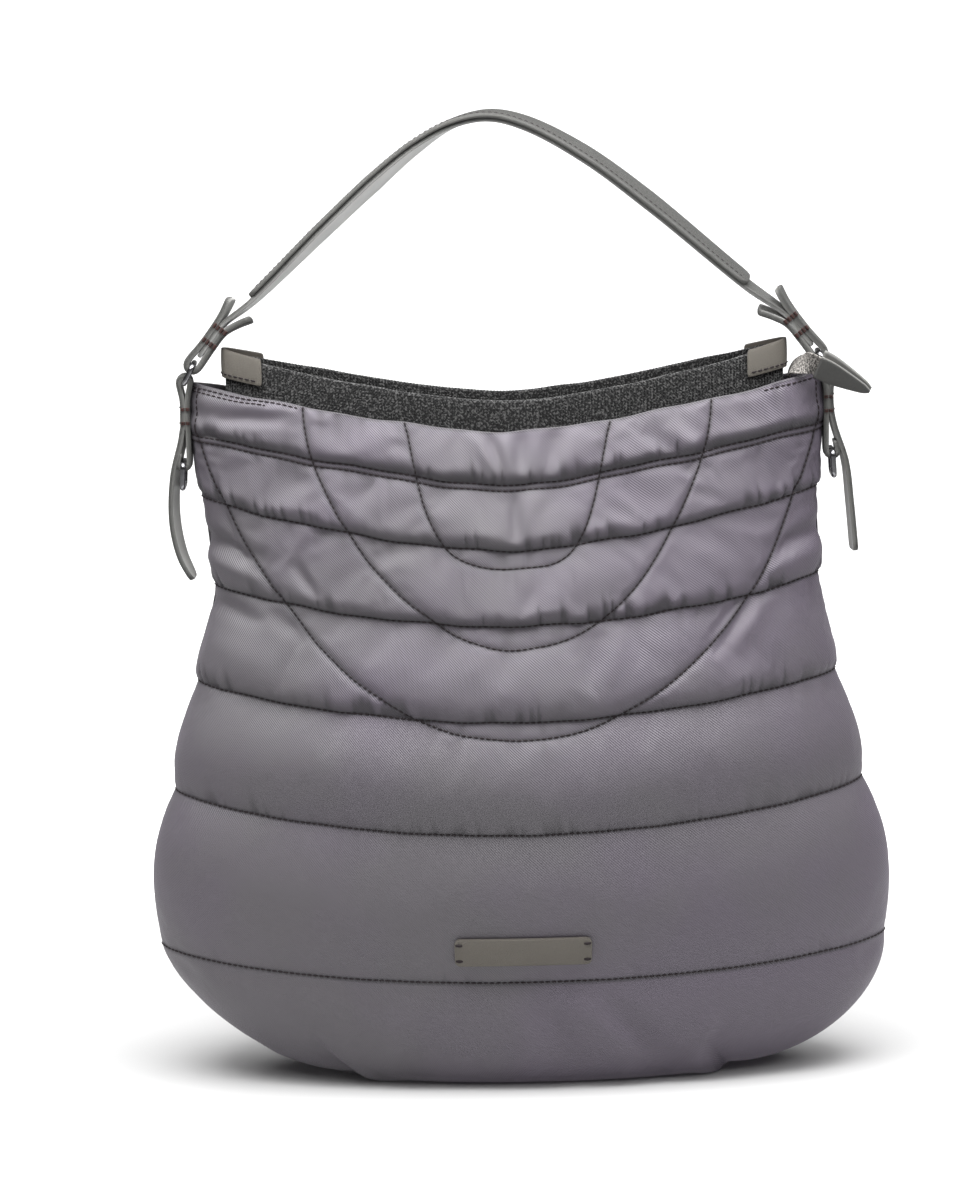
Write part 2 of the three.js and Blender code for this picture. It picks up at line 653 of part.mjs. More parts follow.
function hangingRingGeometry(side) {
  const upperBar = barPoint(side, BARS.hanging);
  const outward = side === "left" ? -1 : 1;
  const lean = new THREE.Vector3(outward * Math.sin(HANGING_RING.swing), 0, -Math.cos(HANGING_RING.swing));
  return ringGeometry(upperBar, upperBar.clone().addScaledVector(lean, HANGING_RING.drop));
}

// Directions of the leather on the zip end: along it, across it and out of its face
function zipEndFrame() {
  const from = new THREE.Vector3(...ZIP_END.from);
  const to = new THREE.Vector3(...ZIP_END.to);
  const along = to.clone().sub(from).normalize();
  const across = new THREE.Vector3(...ZIP_END.across);
  across.addScaledVector(along, -across.dot(along)).normalize();
  return { from, to, along, across, face: along.clone().cross(across) };
}

// The tape rises inside the corner, turns over the front rim and runs straight into its leather end
function zipTapeGeometry() {
  const { from, along, across } = zipEndFrame();
  const line = ZIP_LINE.map(({ x, y, z }) => new THREE.Vector3(x, y, z));
  line.push(...ZIP_TAPE.straight.map((distance) => from.clone().addScaledVector(along, distance)));
  const widths = ZIP_LINE.map((entry) => new THREE.Vector3(...entry.across));
  widths.push(...ZIP_TAPE.straight.map(() => across));
  const curve = new THREE.CatmullRomCurve3(line, false, "centripetal");
  const profile = flatProfile(ZIP_TAPE.width, -ZIP_TAPE.thickness / 2, ZIP_TAPE.thickness / 2);
  const sections = Array.from({ length: ZIP_TAPE.steps + 1 }, (unused, k) => {
    const u = k / ZIP_TAPE.steps;
    const place = u * (line.length - 1);
    const first = Math.min(Math.floor(place), line.length - 2);
    const wide = widths[first].clone().lerp(widths[first + 1], place - first);
    const tangent = curve.getTangent(u);
    wide.addScaledVector(tangent, -wide.dot(tangent)).normalize();
    const face = tangent.clone().cross(wide);
    return profile.map(([a, b]) => curve.getPoint(u).addScaledVector(wide, a).addScaledVector(face, b));
  });
  return sectionGeometry(sections);
}

// The leather on the tape: one piece folded along its lower edge, narrower at the tip
function zipEndGeometry() {
  const { from, to, across, face } = zipEndFrame();
  const inside = ZIP_TAPE.thickness / 2 + GAP;
  const outside = inside + ZIP_LEATHER.wall;
  const sections = Array.from({ length: ZIP_LEATHER.steps + 1 }, (unused, k) => {
    const u = k / ZIP_LEATHER.steps;
    const half = THREE.MathUtils.lerp(ZIP_LEATHER.halfWidth, ZIP_LEATHER.tipHalfWidth, u ** 2);
    const fold = -half + outside;
    const outline = [
      [half, outside],
      [fold, outside],
      [-half, 0],
      [fold, -outside],
      [half, -outside],
      [half, -inside],
      [fold, -inside],
      [fold, inside],
      [half, inside],
    ];
    return outline.map(([a, b]) => {
      return from.clone().lerp(to, u).addScaledVector(across, a).addScaledVector(face, b);
    });
  });
  return sectionGeometry(sections);
}

const bag = new THREE.Group();

function addPiece(name, geometry, material) {
  const mesh = new THREE.Mesh(geometry, material);
  mesh.name = name;
  bag.add(mesh);
}

const quiltedFront = U_SEAMS.reduce((solid, useam) => {
  return solid.subtract(asSolid(grooveGeometry(useam)));
}, asSolid(shellGeometry()));
addPiece("front_panel", asGeometry(quiltedFront), nylon);
addPiece("back_panel", backGeometry(), nylon);
addPiece("knit_collar", collarGeometry(), knit);
addPiece("collar_tab_left", collarTabGeometry(Math.PI), taupeLeather);
addPiece("collar_tab_right", collarTabGeometry(0), taupeLeather);
addPiece("zip_tape", zipTapeGeometry(), tapeCloth);
addPiece("zip_end_tab", zipEndGeometry(), leather);
addPiece("label_patch", labelGeometry(), taupeLeather);
addPiece("handle_strap", handleStrapGeometry(), leather);
addPiece("handle_cover", handleCoverGeometry(), leather);
["left", "right"].forEach((side) => {
  addPiece(`handle_loop_${side}`, handleLoopGeometry(side), leather);
  addPiece(`ring_${side}`, ringGeometry(barPoint(side, BARS.upper), barPoint(side, BARS.lower)), gunmetal);
  addPiece(`side_strap_${side}`, sideStrapGeometry(side), leather);
  addPiece(`strap_ring_${side}`, hangingRingGeometry(side), gunmetal);
});

export default bag;
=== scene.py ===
import bpy
import numpy as np
from mathutils import Matrix, Vector


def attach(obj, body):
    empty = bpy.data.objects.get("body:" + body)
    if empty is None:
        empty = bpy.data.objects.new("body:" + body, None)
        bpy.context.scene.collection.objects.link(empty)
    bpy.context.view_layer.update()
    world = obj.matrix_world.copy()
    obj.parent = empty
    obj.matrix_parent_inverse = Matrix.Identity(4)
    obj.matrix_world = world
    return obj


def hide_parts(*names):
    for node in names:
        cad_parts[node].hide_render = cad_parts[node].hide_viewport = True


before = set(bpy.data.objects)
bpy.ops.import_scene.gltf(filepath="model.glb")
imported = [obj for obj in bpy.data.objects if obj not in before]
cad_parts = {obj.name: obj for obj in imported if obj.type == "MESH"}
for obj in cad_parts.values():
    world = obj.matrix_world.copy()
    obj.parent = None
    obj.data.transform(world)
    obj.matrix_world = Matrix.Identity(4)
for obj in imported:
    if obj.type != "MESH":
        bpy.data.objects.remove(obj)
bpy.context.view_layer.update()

# The studio: a white floor under broad soft light from above, and a camera with a long lens 2.6 m away,
# which looks 9 degrees down on the front of the bag and is turned a little about its own line of sight.
MM = 0.001
CAMERA_AIM = np.array([-18.16, 0, 257.5]) * MM
CAMERA_DISTANCE = 2600 * MM
CAMERA_PITCH = np.radians(9)
CAMERA_ROLL = np.radians(1.15)
FOCAL_LENGTH_IN_PIXELS = 4797
IMAGE_HEIGHT_IN_PIXELS = 1200
SENSOR_MM = 36
KEY_FROM = Vector((0.17, 0.08, 1.5))
KEY_STRENGTH = 3.2
KEY_SPREAD = np.radians(110)
SOFTBOX_PLACE = Vector((0, -0.19, 0.95))
SOFTBOX_WIDTH = 1.3
SOFTBOX_DEPTH = 0.45
SOFTBOX_POWER = 18.5
SKY_STRENGTH = 0.08
GROUND_STRENGTH = 0.5
FLOOR_NEAR = 0.5
GLOW_FROM = 0.16
STAGE_GLOW = 0.42
STAGE_FLAT = 5
STAGE_BEND = 3
STAGE_WALL = 6
STAGE_SIDES = 96
FLOOR_WHITENESS = 0.53
BACKDROP_WHITENESS = 0.9
HORIZON_BLUR = 0.15

forward = np.array([0, np.cos(CAMERA_PITCH), -np.sin(CAMERA_PITCH)])
level_up = np.array([0, np.sin(CAMERA_PITCH), np.cos(CAMERA_PITCH)])
level_right = np.array([1, 0, 0])
camera_right = level_right * np.cos(CAMERA_ROLL) - level_up * np.sin(CAMERA_ROLL)
camera_up = level_up * np.cos(CAMERA_ROLL) + level_right * np.sin(CAMERA_ROLL)
camera_place = CAMERA_AIM - CAMERA_DISTANCE * forward
camera_matrix = np.eye(4)
camera_matrix[:3] = np.stack([camera_right, camera_up, -forward, camera_place], axis=1)

camera_data = bpy.data.cameras.new("camera")
camera_data.sensor_width = SENSOR_MM
camera_data.lens = FOCAL_LENGTH_IN_PIXELS / IMAGE_HEIGHT_IN_PIXELS * SENSOR_MM
camera = bpy.data.objects.new("camera", camera_data)
camera.matrix_world = Matrix(camera_matrix.tolist())
bpy.context.scene.collection.objects.link(camera)
bpy.context.scene.camera = camera
bpy.context.scene.view_settings.view_transform = "Standard"


def add_light(name, kind, energy, shines_from, **settings):
    """A light that shines back along a direction, with the settings of its kind."""
    data = bpy.data.lights.new(name, kind)
    data.energy = energy
    for setting, value in settings.items():
        setattr(data, setting, value)
    light = bpy.data.objects.new(name, data)
    light.rotation_mode = "QUATERNION"
    light.rotation_quaternion = shines_from.to_track_quat("Z", "Y")
    bpy.context.scene.collection.objects.link(light)
    return light


add_light("key", "SUN", KEY_STRENGTH, KEY_FROM, angle=KEY_SPREAD)
softbox_shape = {"shape": "RECTANGLE", "size": SOFTBOX_WIDTH, "size_y": SOFTBOX_DEPTH}
softbox = add_light("softbox", "AREA", SOFTBOX_POWER, SOFTBOX_PLACE - Vector(CAMERA_AIM), **softbox_shape)
softbox.location = SOFTBOX_PLACE
softbox.visible_camera = False


class Shade:
    """A value in a finish: it wraps a node's output socket, and Python's operators on it add Math nodes."""

    def __init__(self, tree, socket=None):
        self.tree = tree
        self.socket = socket

    def add(self, kind, settings=None, sockets=None, output=0):
        """Adds a node of any kind: its settings first, then its sockets' values or links."""
        node = self.tree.nodes.new(kind)
        for name, value in (settings or {}).items():
            setattr(node, name, value)
        for name, value in (sockets or {}).items():
            if isinstance(value, Shade):
                value.into(node, name)
            else:
                node.inputs[name].default_value = value
        return Shade(self.tree, node.outputs[output])

    def into(self, node, name):
        """Links the value to an input of a node."""
        self.tree.links.new(self.socket, node.inputs[name])

    def math(self, operation, *values):
        return self.add("ShaderNodeMath", {"operation": operation}, dict(enumerate(values)))

    def __add__(self, other):
        return self.math("ADD", self, other)

    def __radd__(self, other):
        return self.math("ADD", other, self)

    def __sub__(self, other):
        return self.math("SUBTRACT", self, other)

    def __rsub__(self, other):
        return self.math("SUBTRACT", other, self)

    def __mul__(self, other):
        return self.math("MULTIPLY", self, other)

    def __rmul__(self, other):
        return self.math("MULTIPLY", other, self)

    def noise(self, scale, detail=2):
        """Cloudy noise around 0.5 at so many lumps to the metre, on Object coordinates."""
        place = self.add("ShaderNodeTexCoord", output=3)
        return self.add("ShaderNodeTexNoise", sockets={"Vector": place, "Scale": scale, "Detail": detail})

    def wave(self, pitch, shift=0):
        """A sine wave from 0 to 1 along the value, at a pitch in metres and shifted by an angle."""
        return self.math("SINE", self * (2 * np.pi / pitch) + shift) * 0.5 + 0.5

    def between(self, low, high):
        """How far the value is from a low one to a high one, from 0 to 1."""
        return self.add("ShaderNodeMapRange", sockets={0: self, 1: low, 2: high})

    def mix(self, first, second):
        """A colour between two, with the value as the share of the second."""
        sockets = {0: self, 6: first, 7: second}
        return self.add("ShaderNodeMix", {"data_type": "RGBA"}, sockets, output=2)

    def bump(self, shader, depth):
        """Bumps the shader's normal by the value as a height from 0 to 1, at a depth in metres."""
        sockets = {"Strength": 1, "Distance": depth, "Height": self}
        self.add("ShaderNodeBump", sockets=sockets).into(shader, "Normal")


def new_finish(name, constants):
    """A material with constants on its shader's sockets, the start of its expressions and the shader."""
    material = bpy.data.materials.new(name)
    material.use_nodes = True
    shader = material.node_tree.nodes["Principled BSDF"]
    for socket, value in constants.items():
        shader.inputs[socket].default_value = value
    return material, Shade(material.node_tree), shader


def add_mesh(name, points, faces):
    """An object with a smooth mesh, from points in metres."""
    mesh = bpy.data.meshes.new(name)
    mesh.from_pydata(points.reshape(-1, 3).tolist(), [], faces)
    mesh.polygons.foreach_set("use_smooth", np.ones(len(mesh.polygons), bool))
    piece = bpy.data.objects.new(name, mesh)
    bpy.context.scene.collection.objects.link(piece)
    return piece


def grid_faces(row_count, column_count, rows_close=False, columns_close=False):
    """Quads between neighbours of a grid that is numbered row by row and may close on itself either way."""
    numbers = np.arange(row_count * column_count).reshape(row_count, column_count)
    if rows_close:
        numbers = np.concatenate([numbers, numbers[:1]])
    if columns_close:
        numbers = np.concatenate([numbers, numbers[:, :1]], axis=1)
    corners = [numbers[:-1, :-1], numbers[:-1, 1:], numbers[1:, 1:], numbers[1:, :-1]]
    return np.stack(corners, axis=-1).reshape(-1, 4)


def stage_bowl():
    """The stage as a bowl of revolution: flat, then a quarter turn up into a wall all round."""
    turn = np.linspace(0, np.pi / 2, 13)
    flat = np.array([0.001, 0.2, FLOOR_NEAR, 2, 3])
    radius = np.concatenate([flat, STAGE_FLAT + STAGE_BEND * np.sin(turn), [STAGE_FLAT + STAGE_BEND]])
    height = np.concatenate([0 * flat, STAGE_BEND * (1 - np.cos(turn)), [STAGE_WALL]])
    angle = np.linspace(0, 2 * np.pi, STAGE_SIDES, endpoint=False)[:, None]
    return np.stack([radius * np.cos(angle), radius * np.sin(angle), height + 0 * angle], axis=-1)


def stage_piece(name, points, whiteness, bounces):
    """A part of the white stage, which glows more and more away from the bag and may pass light on to it."""
    constants = {"Base Color": (whiteness, whiteness, whiteness, 1), "Roughness": 0.9}
    finish, shade, shader = new_finish(f"{name}_white", {**constants, "Emission Strength": STAGE_GLOW})
    place = shade.add("ShaderNodeTexCoord", output=3)
    away = shade.add("ShaderNodeVectorMath", {"operation": "LENGTH"}, {0: place}, output=1)
    away.between(GLOW_FROM, FLOOR_NEAR).into(shader, "Emission Color")
    piece = add_mesh(name, points, grid_faces(*points.shape[:2], rows_close=True).tolist())
    piece.data.materials.append(finish)
    piece.visible_shadow = False
    piece.visible_diffuse = bounces
    piece.visible_glossy = bounces


bowl = stage_bowl()
stage_piece("floor", bowl[:, :3], FLOOR_WHITENESS, True)
stage_piece("backdrop", bowl[:, 2:], BACKDROP_WHITENESS, False)

sky = bpy.data.worlds.new("sky")
sky.use_nodes = True
background = sky.node_tree.nodes["Background"]
background.inputs["Color"].default_value = (1, 1, 1, 1)
direction = Shade(sky.node_tree).add("ShaderNodeTexCoord")
level = direction.add("ShaderNodeSeparateXYZ", sockets={0: direction}, output=2)
horizon = {1: -HORIZON_BLUR, 2: HORIZON_BLUR, 3: GROUND_STRENGTH, 4: SKY_STRENGTH}
level.add("ShaderNodeMapRange", sockets={0: level, **horizon}).into(background, "Strength")
bpy.context.scene.world = sky


# The two shells: padded nylon twill, sewn through in channels from the rim down to the base. The shells are
# sewn to each other along the sides and under the base, and the front has three U seams more, one in another.
# The surface is worked out with its padding and gathers, then relaxed as cloth that is held along the seams.
SEAMS = {
    "half_width": [169.2, 170.4, 166.2, 163.4, 173, 187, 198],
    "side_z": [379.5, 351, 318, 270.5, 218, 158, 72],
    "mid_z": [353, 323, 290.5, 251, 201, 141.5, 61],
    "depth": [30, 36, 43, 51.5, 63, 70.5, 68.5],
    "lean": [-3.5, -3.7, -3, 0, -1, -1, 0],
    "sag": [1.25, 1.05, 1.4, 1.7, 1.65, 1.9, 2.2],
}
LAST_SEAM = 6
FLOOR_ROW = 6.7
BASE_ROW = 7
SAG_ROUNDING = 0.12
BASE_HALF_LENGTH = 108
BASE_HALF_DEPTH = 38
BASE_SEAM_HALF_LENGTH = 95
LOWER_CORNER = {"left": 1.5, "right": 1.1}
SHELL_GAP = 0.3
SHELL_WALL = 3
SIDE_SEAM_GAP = 0.04
SIDE_SEAM_GROOVE = 0.9
SIDE_SEAM_REACH = 2.5
USUAL_HALF_WIDTH = 180
USUAL_DEPTH = 60
PUFF = np.array([3.6, 3.9, 4.5, 5.2, 6.2, 6.4, 2.6])
SIDE_PUFF_LOSS = np.array([0.6, 0.55, 0.5, 0.45, 0.35, -0.25, 0])
GATHERING = np.array([1.2, 1.4, 1.4, 1, 0.45, 0.25, 0.12])
SLACK = np.array([0.7, 0.7, 0.7, 0.5, 0.3, 0.2, 0.2])
PUFF_TOP_POWER = np.array([1.5, 1.4, 1.4, 1.4, 1.8, 2.6, 2.1])
PUFF_FOOT_POWER = np.array([13, 14, 14, 11, 3.5, 2.1, 6.5])
BAND_HALF_WIDTH = np.array([0, 1.4, 0, 0, 0, 0, 0, 0])
BAND_RISE = 0.8
FOOT_SHADE = np.array([1, 0.6, 0.6, 0.5, 0.3, 0.2, 0])
FOOT_SHADE_REACH = np.array([5, 3.2, 3.2, 3.2, 3.5, 4, 4])
CHANNEL_STEPS = [20, 22, 28, 32, 36, 48]
TURN_STEPS = 40
BASE_STEPS = 14
COLUMNS = 360
LINING_STEP = 4
CLOTH_STEP = 2
CLOTH = {
    "vertex_group_mass": "held",
    "quality": 5,
    "mass": 0.2,
    "tension_stiffness": 12,
    "compression_stiffness": 12,
    "shear_stiffness": 4,
    "bending_stiffness": 0.4,
    "shrink_min": -0.01,
    "use_pressure": True,
    "uniform_pressure_force": -1.2,
}
HOLD_LEVELS = 20
HOLD_WIDTH = 1.4

U_SEAMS = [
    {"half_width": 55, "lowest_row": 2.25, "taper": 0.25, "squareness": 4.5},
    {"half_width": 109, "lowest_row": 3.27, "taper": 0, "squareness": 2},
    {"half_width": 169, "lowest_row": 4.17, "taper": 0, "squareness": 2.15},
]
# Waves in the seams: share of the wobble, length over which an angle of one passes, and shift from row to row
SEAM_WAVES = [(1, 11, 2.1), (0.7, 5.3, 5.7)]
SEAM_WOBBLE = 0.38
LEAST_WOBBLE = 0.15
WOBBLE_FADE_ROWS = 3
U_SIDE_LIMIT = 0.98
U_GROOVE = 3.4
U_DEPTH_SHARE = 0.42
# Gathers and ripples along a seam: lengths in millimetres, depths before each channel's own share
GATHERS = {"spacing": 5, "slant": 0.15, "start": 0.9, "depth": 1.9, "swell_between": 0.3}
GATHER_WIDTH = {"far": 0.12, "more_at_seam": 0.45, "fades_over": 6}
RIPPLES = {"spacing": 4.6, "reach": 8, "start": 1.6, "depth": 0.8}
U_RIPPLES = {"spacing": 4.4, "reach": 6, "start": 1.8, "depth": 0.55}
# How these and the shade above the seams come and go: length of a patch, then middle, swing and limits
GATHER_REACH = {"length": 9, "middle": 6, "swing": 3, "least": 3, "most": 9}
GATHER_PATCHES = {"length": 34, "middle": 0.8, "swing": 0.8, "least": 0.2, "most": 1.15}
RIPPLE_PATCHES = {"length": 50, "middle": 0.3, "swing": 0.7, "least": 0.05, "most": 1}
U_PATCHES = {"length": 30, "middle": 0.4, "swing": 1, "least": 0.1, "most": 1}
SHADE_PATCHES = {"length": 24, "middle": 0.65, "swing": 0.6, "least": 0.15, "most": 1}
SIDE_SHADE = 0.8
SIDE_SEAM_SHADE = 0.7
GATHER_SHADE = {"full_depth": 1.1, "most": 0.75}

# Soft folds of the front in front view: from and to (x, z), width and height, all in millimetres
FOLDS = [
    (-22, 351, -5, 326, 4.5, 1.5),
    (-15, 352, -3, 325, 3.5, -1.8),
    (-6, 352, -1, 327, 4.5, 1.4),
    (4, 352, 1, 327, 4.5, -1.5),
    (24, 352, 14, 326, 6, -1.6),
    (33, 352, 24, 327, 5, 1.2),
    (-1, 322, 0, 293, 4, -1.7),
    (8, 322, 7, 296, 6, 1.1),
    (72, 350, 96, 333, 5, -1.4),
    (84, 352, 104, 338, 5, 1.2),
    (-174, 363, -122, 360, 4, -1.7),
    (-174, 355, -104, 342, 3.5, 0.3),
    (170, 359, 100, 345, 4, 1),
    (-162, 374, -98, 362, 7, 1.3),
    (98, 362, 160, 374, 7, 0.8),
    (-168, 298, -138, 286, 4.5, -3),
    (-168, 287, -136, 275, 4, 1.5),
    (-157, 316, -150, 298, 2.5, -1.8),
    (-118, 285, -108, 268, 3.5, -2.2),
    (-166, 263, -138, 253, 5, -1.8),
    (-132, 258, -114, 245, 5, -1.2),
    (-168, 242, -130, 229, 9, 1),
    (164, 297, 136, 285, 4.5, -2.6),
    (166, 285, 130, 274, 5, 1.5),
    (123, 262, 104, 236, 6, -2.6),
    (134, 262, 116, 238, 6, 1.8),
    (44, 244, 36, 219, 7, -1.4),
    (54, 246, 48, 222, 6, 1.1),
    (46, 46, 78, 16, 7, -3),
    (30, 48, 60, 16, 7, 2.6),
    (10, 48, 30, 16, 6, -2.2),
    (-8, 48, 8, 16, 8, 1.8),
    (-60, 46, -78, 16, 8, 1.6),
    (100, 40, 92, 16, 5, 2.2),
    (-190, 66, -176, 58, 4, -1.2),
    (196, 74, 182, 60, 5, -1.2),
]
# The tucks in front view: from the point of each (x, z) to its foot
TUCKS = [(-114, 31, -93, 8), (95, 27, 104, 8)]
TUCK = {"depth": 4, "growth_power": 0.7, "step_from": -2, "step_width": 5, "fades_over": 22}
TUCK_ROLL = {"share": 0.35, "middle": -7, "width": 6}
FOLD_MARGIN = 5
FOLD_TAPER = {"past_ends": 0.15, "power": 0.8}


def unit(vectors):
    """Vectors brought to a length of one."""
    return vectors / np.maximum(np.linalg.norm(vectors, axis=-1, keepdims=True), 1e-9)


def bell(away, width):
    """A bell: e to the power of minus the square of the distance over the width."""
    return np.exp(-((away / width) ** 2))


def ease(share):
    """A share from 0 to 1 with a soft start and end: three times its square less twice its cube."""
    return share * share * (3 - 2 * share)


def walked_along(path):
    """Distance along a path at each of its points."""
    return np.concatenate([[0], np.cumsum(np.linalg.norm(np.diff(path, axis=0), axis=1))])


def at_places(places, walked, values):
    """Rows of values along a path, read at places along it: linear between its points."""
    return np.stack([np.interp(places, walked, column) for column in values.T], axis=-1)


def shell_sizes(row, on_left):
    """Sizes of the body at any row: a Catmull-Rom curve through the seam table down to the last seam, then
    a quarter turn (half width and depth by the cosine, heights by one less the sine) and a straight flat
    base."""
    start_row = np.clip(np.floor(row).astype(int), 0, LAST_SEAM - 1)
    t = np.clip(row - start_row, 0, 1)
    neighbours = [np.clip(start_row + step, 0, LAST_SEAM) for step in (-1, 0, 1, 2)]
    sizes = {}
    for name, column in SEAMS.items():
        before, start, end, after = (np.array(column, float)[place] for place in neighbours)
        rise = (end - before) / 2
        fall = (after - start) / 2
        cubic = 2 * start - 2 * end + rise + fall
        square = 3 * end - 3 * start - 2 * rise - fall
        sizes[name] = ((cubic * t + square) * t + rise) * t + start
    turn = np.clip((row - LAST_SEAM) / (FLOOR_ROW - LAST_SEAM), 0, 1) * np.pi / 2
    inward = np.clip((row - FLOOR_ROW) / (BASE_ROW - FLOOR_ROW), 0, 1)
    corner = np.where(on_left, LOWER_CORNER["left"], LOWER_CORNER["right"])
    along = np.abs(np.cos(turn))
    length = BASE_HALF_LENGTH + (BASE_SEAM_HALF_LENGTH - BASE_HALF_LENGTH) * inward
    narrowing = np.where(row > LAST_SEAM, along**corner, 1)
    sizes["half_width"] = length + (sizes["half_width"] - length) * narrowing
    sizes["side_z"] = sizes["side_z"] * (1 - np.sin(turn) ** corner)
    sizes["mid_z"] = sizes["mid_z"] * (1 - np.sin(turn))
    turned = BASE_HALF_DEPTH + (sizes["depth"] - BASE_HALF_DEPTH) * along
    sizes["depth"] = np.where(row > LAST_SEAM, turned * (1 - inward), sizes["depth"])
    return sizes


def dip_share(across, sag):
    """Rise of a seam towards the side, from 0 to 1: a rounded power of the share of the half width."""
    rounded = SAG_ROUNDING**sag
    full = (1 + SAG_ROUNDING**2) ** (sag / 2) - rounded
    return ((across**2 + SAG_ROUNDING**2) ** (sag / 2) - rounded) / full


def shell_point(side, row):
    """A point on the seam surface of the front shell in millimetres: a half ellipse from the left side seam
    (side -1) to the right one (side 1) at each row, dipping towards the middle, with a slight wobble of two
    sines as seams in padding have."""
    size = shell_sizes(row, side < 0)
    across = np.sin(side * np.pi / 2)
    out = np.cos(side * np.pi / 2)
    x = size["lean"] + size["half_width"] * across
    y = -(SIDE_SEAM_GAP / 2 + size["depth"] * out)
    z = size["mid_z"] + (size["side_z"] - size["mid_z"]) * dip_share(across, size["sag"])
    wobble = sum(share * np.sin(x / length + shift * row) for share, length, shift in SEAM_WAVES)
    fade = np.clip((LAST_SEAM - row) / WOBBLE_FADE_ROWS, LEAST_WOBBLE, 1)
    z = z + SEAM_WOBBLE * wobble * fade * (row < FLOOR_ROW)
    return np.stack([x, y, z], axis=-1)


def grid_normals(points):
    """Unit normals of a grid of points: the cross product of its differences down and across."""
    return unit(np.cross(np.gradient(points, axis=0), np.gradient(points, axis=1)))


def wander(x, seed, count=512):
    """A smooth random function of a number, from -1 to 1: random at whole numbers, eased between them."""
    heights = np.random.default_rng(seed).uniform(-1, 1, count)
    low = np.floor(x).astype(int)
    share = ease(x - low)
    return heights[low % count] * (1 - share) + heights[(low + 1) % count] * share


def u_seam_route(half_width, lowest_row, taper, squareness, steps=240):
    """A U seam as side and row: a squared half oval, whose legs come in by the taper on the way down."""
    turn = np.pi * (1 - np.arange(steps + 1) / steps)
    down = np.abs(np.sin(turn)) ** (2 / squareness)
    across = np.sign(np.cos(turn)) * np.abs(np.cos(turn)) ** (2 / squareness)
    row = lowest_row * down
    share = half_width * (1 - taper * down) * across / shell_sizes(row, across < 0)["half_width"]
    keep = np.abs(share) < U_SIDE_LIMIT
    return 2 / np.pi * np.arcsin(share[keep]), row[keep]


def nearest_on_line(points, line, at_once=4000):
    """Distance from each point to a line of points, and the place along the line: the nearest of the feet
    of the perpendiculars on its stretches, worked out for some of the points at once."""
    runs = np.diff(line, axis=0)
    lengths = np.linalg.norm(runs, axis=1)
    places = walked_along(line)[:-1]
    flat = points.reshape(-1, 3)
    distance = np.zeros(len(flat))
    place = np.zeros(len(flat))
    for start in range(0, len(flat), at_once):
        batch = slice(start, start + at_once)
        part = flat[batch, None] - line[None, :-1]
        share = np.clip(np.einsum("ijk,jk->ij", part, runs) / lengths**2, 0, 1)
        apart = np.linalg.norm(part - share[..., None] * runs, axis=2)
        nearest = apart.argmin(axis=1)
        picked = np.arange(len(nearest)), nearest
        distance[batch] = apart[picked]
        place[batch] = places[nearest] + share[picked] * lengths[nearest]
    return distance.reshape(points.shape[:2]), place.reshape(points.shape[:2])


rows = np.concatenate([k + np.arange(n) / n for k, n in enumerate(CHANNEL_STEPS)])
turn_rows = LAST_SEAM + (FLOOR_ROW - LAST_SEAM) * np.arange(TURN_STEPS) / TURN_STEPS
base_rows = FLOOR_ROW + (BASE_ROW - FLOOR_ROW) * np.arange(BASE_STEPS + 1) / BASE_STEPS
rows = np.concatenate([rows, turn_rows, base_rows])
# Columns at even steps along a half ellipse of the body's usual width and depth
fine = np.linspace(-1, 1, 2001)
angle = fine * np.pi / 2
walked = walked_along(np.stack([USUAL_HALF_WIDTH * np.sin(angle), USUAL_DEPTH * np.cos(angle)], axis=1))
sides = np.interp(np.linspace(0, walked[-1], COLUMNS + 1), walked, fine)
side_grid, row_grid = np.meshgrid(sides, rows)
seam_surface = shell_point(side_grid, row_grid)
down_steps = np.linalg.norm(np.diff(seam_surface, axis=0), axis=2)
across_steps = np.linalg.norm(np.diff(seam_surface, axis=1), axis=2)
down_place = np.concatenate([np.zeros((1, COLUMNS + 1)), np.cumsum(down_steps, axis=0)])
across_place = np.concatenate([np.zeros((len(rows), 1)), np.cumsum(across_steps, axis=1)], axis=1)
side_apart = np.minimum(across_place, across_place[:, -1:] - across_place)
across_place -= across_place[:, COLUMNS // 2, None]

channel = np.clip(np.floor(row_grid).astype(int), 0, LAST_SEAM)
seam_lines = [int(np.argmin(np.abs(rows - k))) for k in [*range(LAST_SEAM + 1), FLOOR_ROW]]
top_place = down_place[np.array(seam_lines)[channel], np.arange(COLUMNS + 1)]
foot_place = down_place[np.array(seam_lines)[channel + 1], np.arange(COLUMNS + 1)]
from_top = np.maximum(down_place - top_place - BAND_HALF_WIDTH[channel], 0)
from_foot = np.maximum(foot_place - down_place - BAND_HALF_WIDTH[channel + 1], 0)
from_foot = np.where(row_grid > FLOOR_ROW, 0, from_foot)
channel_share = from_top / np.maximum(from_top + from_foot, 1e-6)
line_apart = np.minimum(
    np.abs(down_place - top_place - BAND_HALF_WIDTH[channel]),
    np.abs(foot_place - down_place - BAND_HALF_WIDTH[channel + 1]),
)


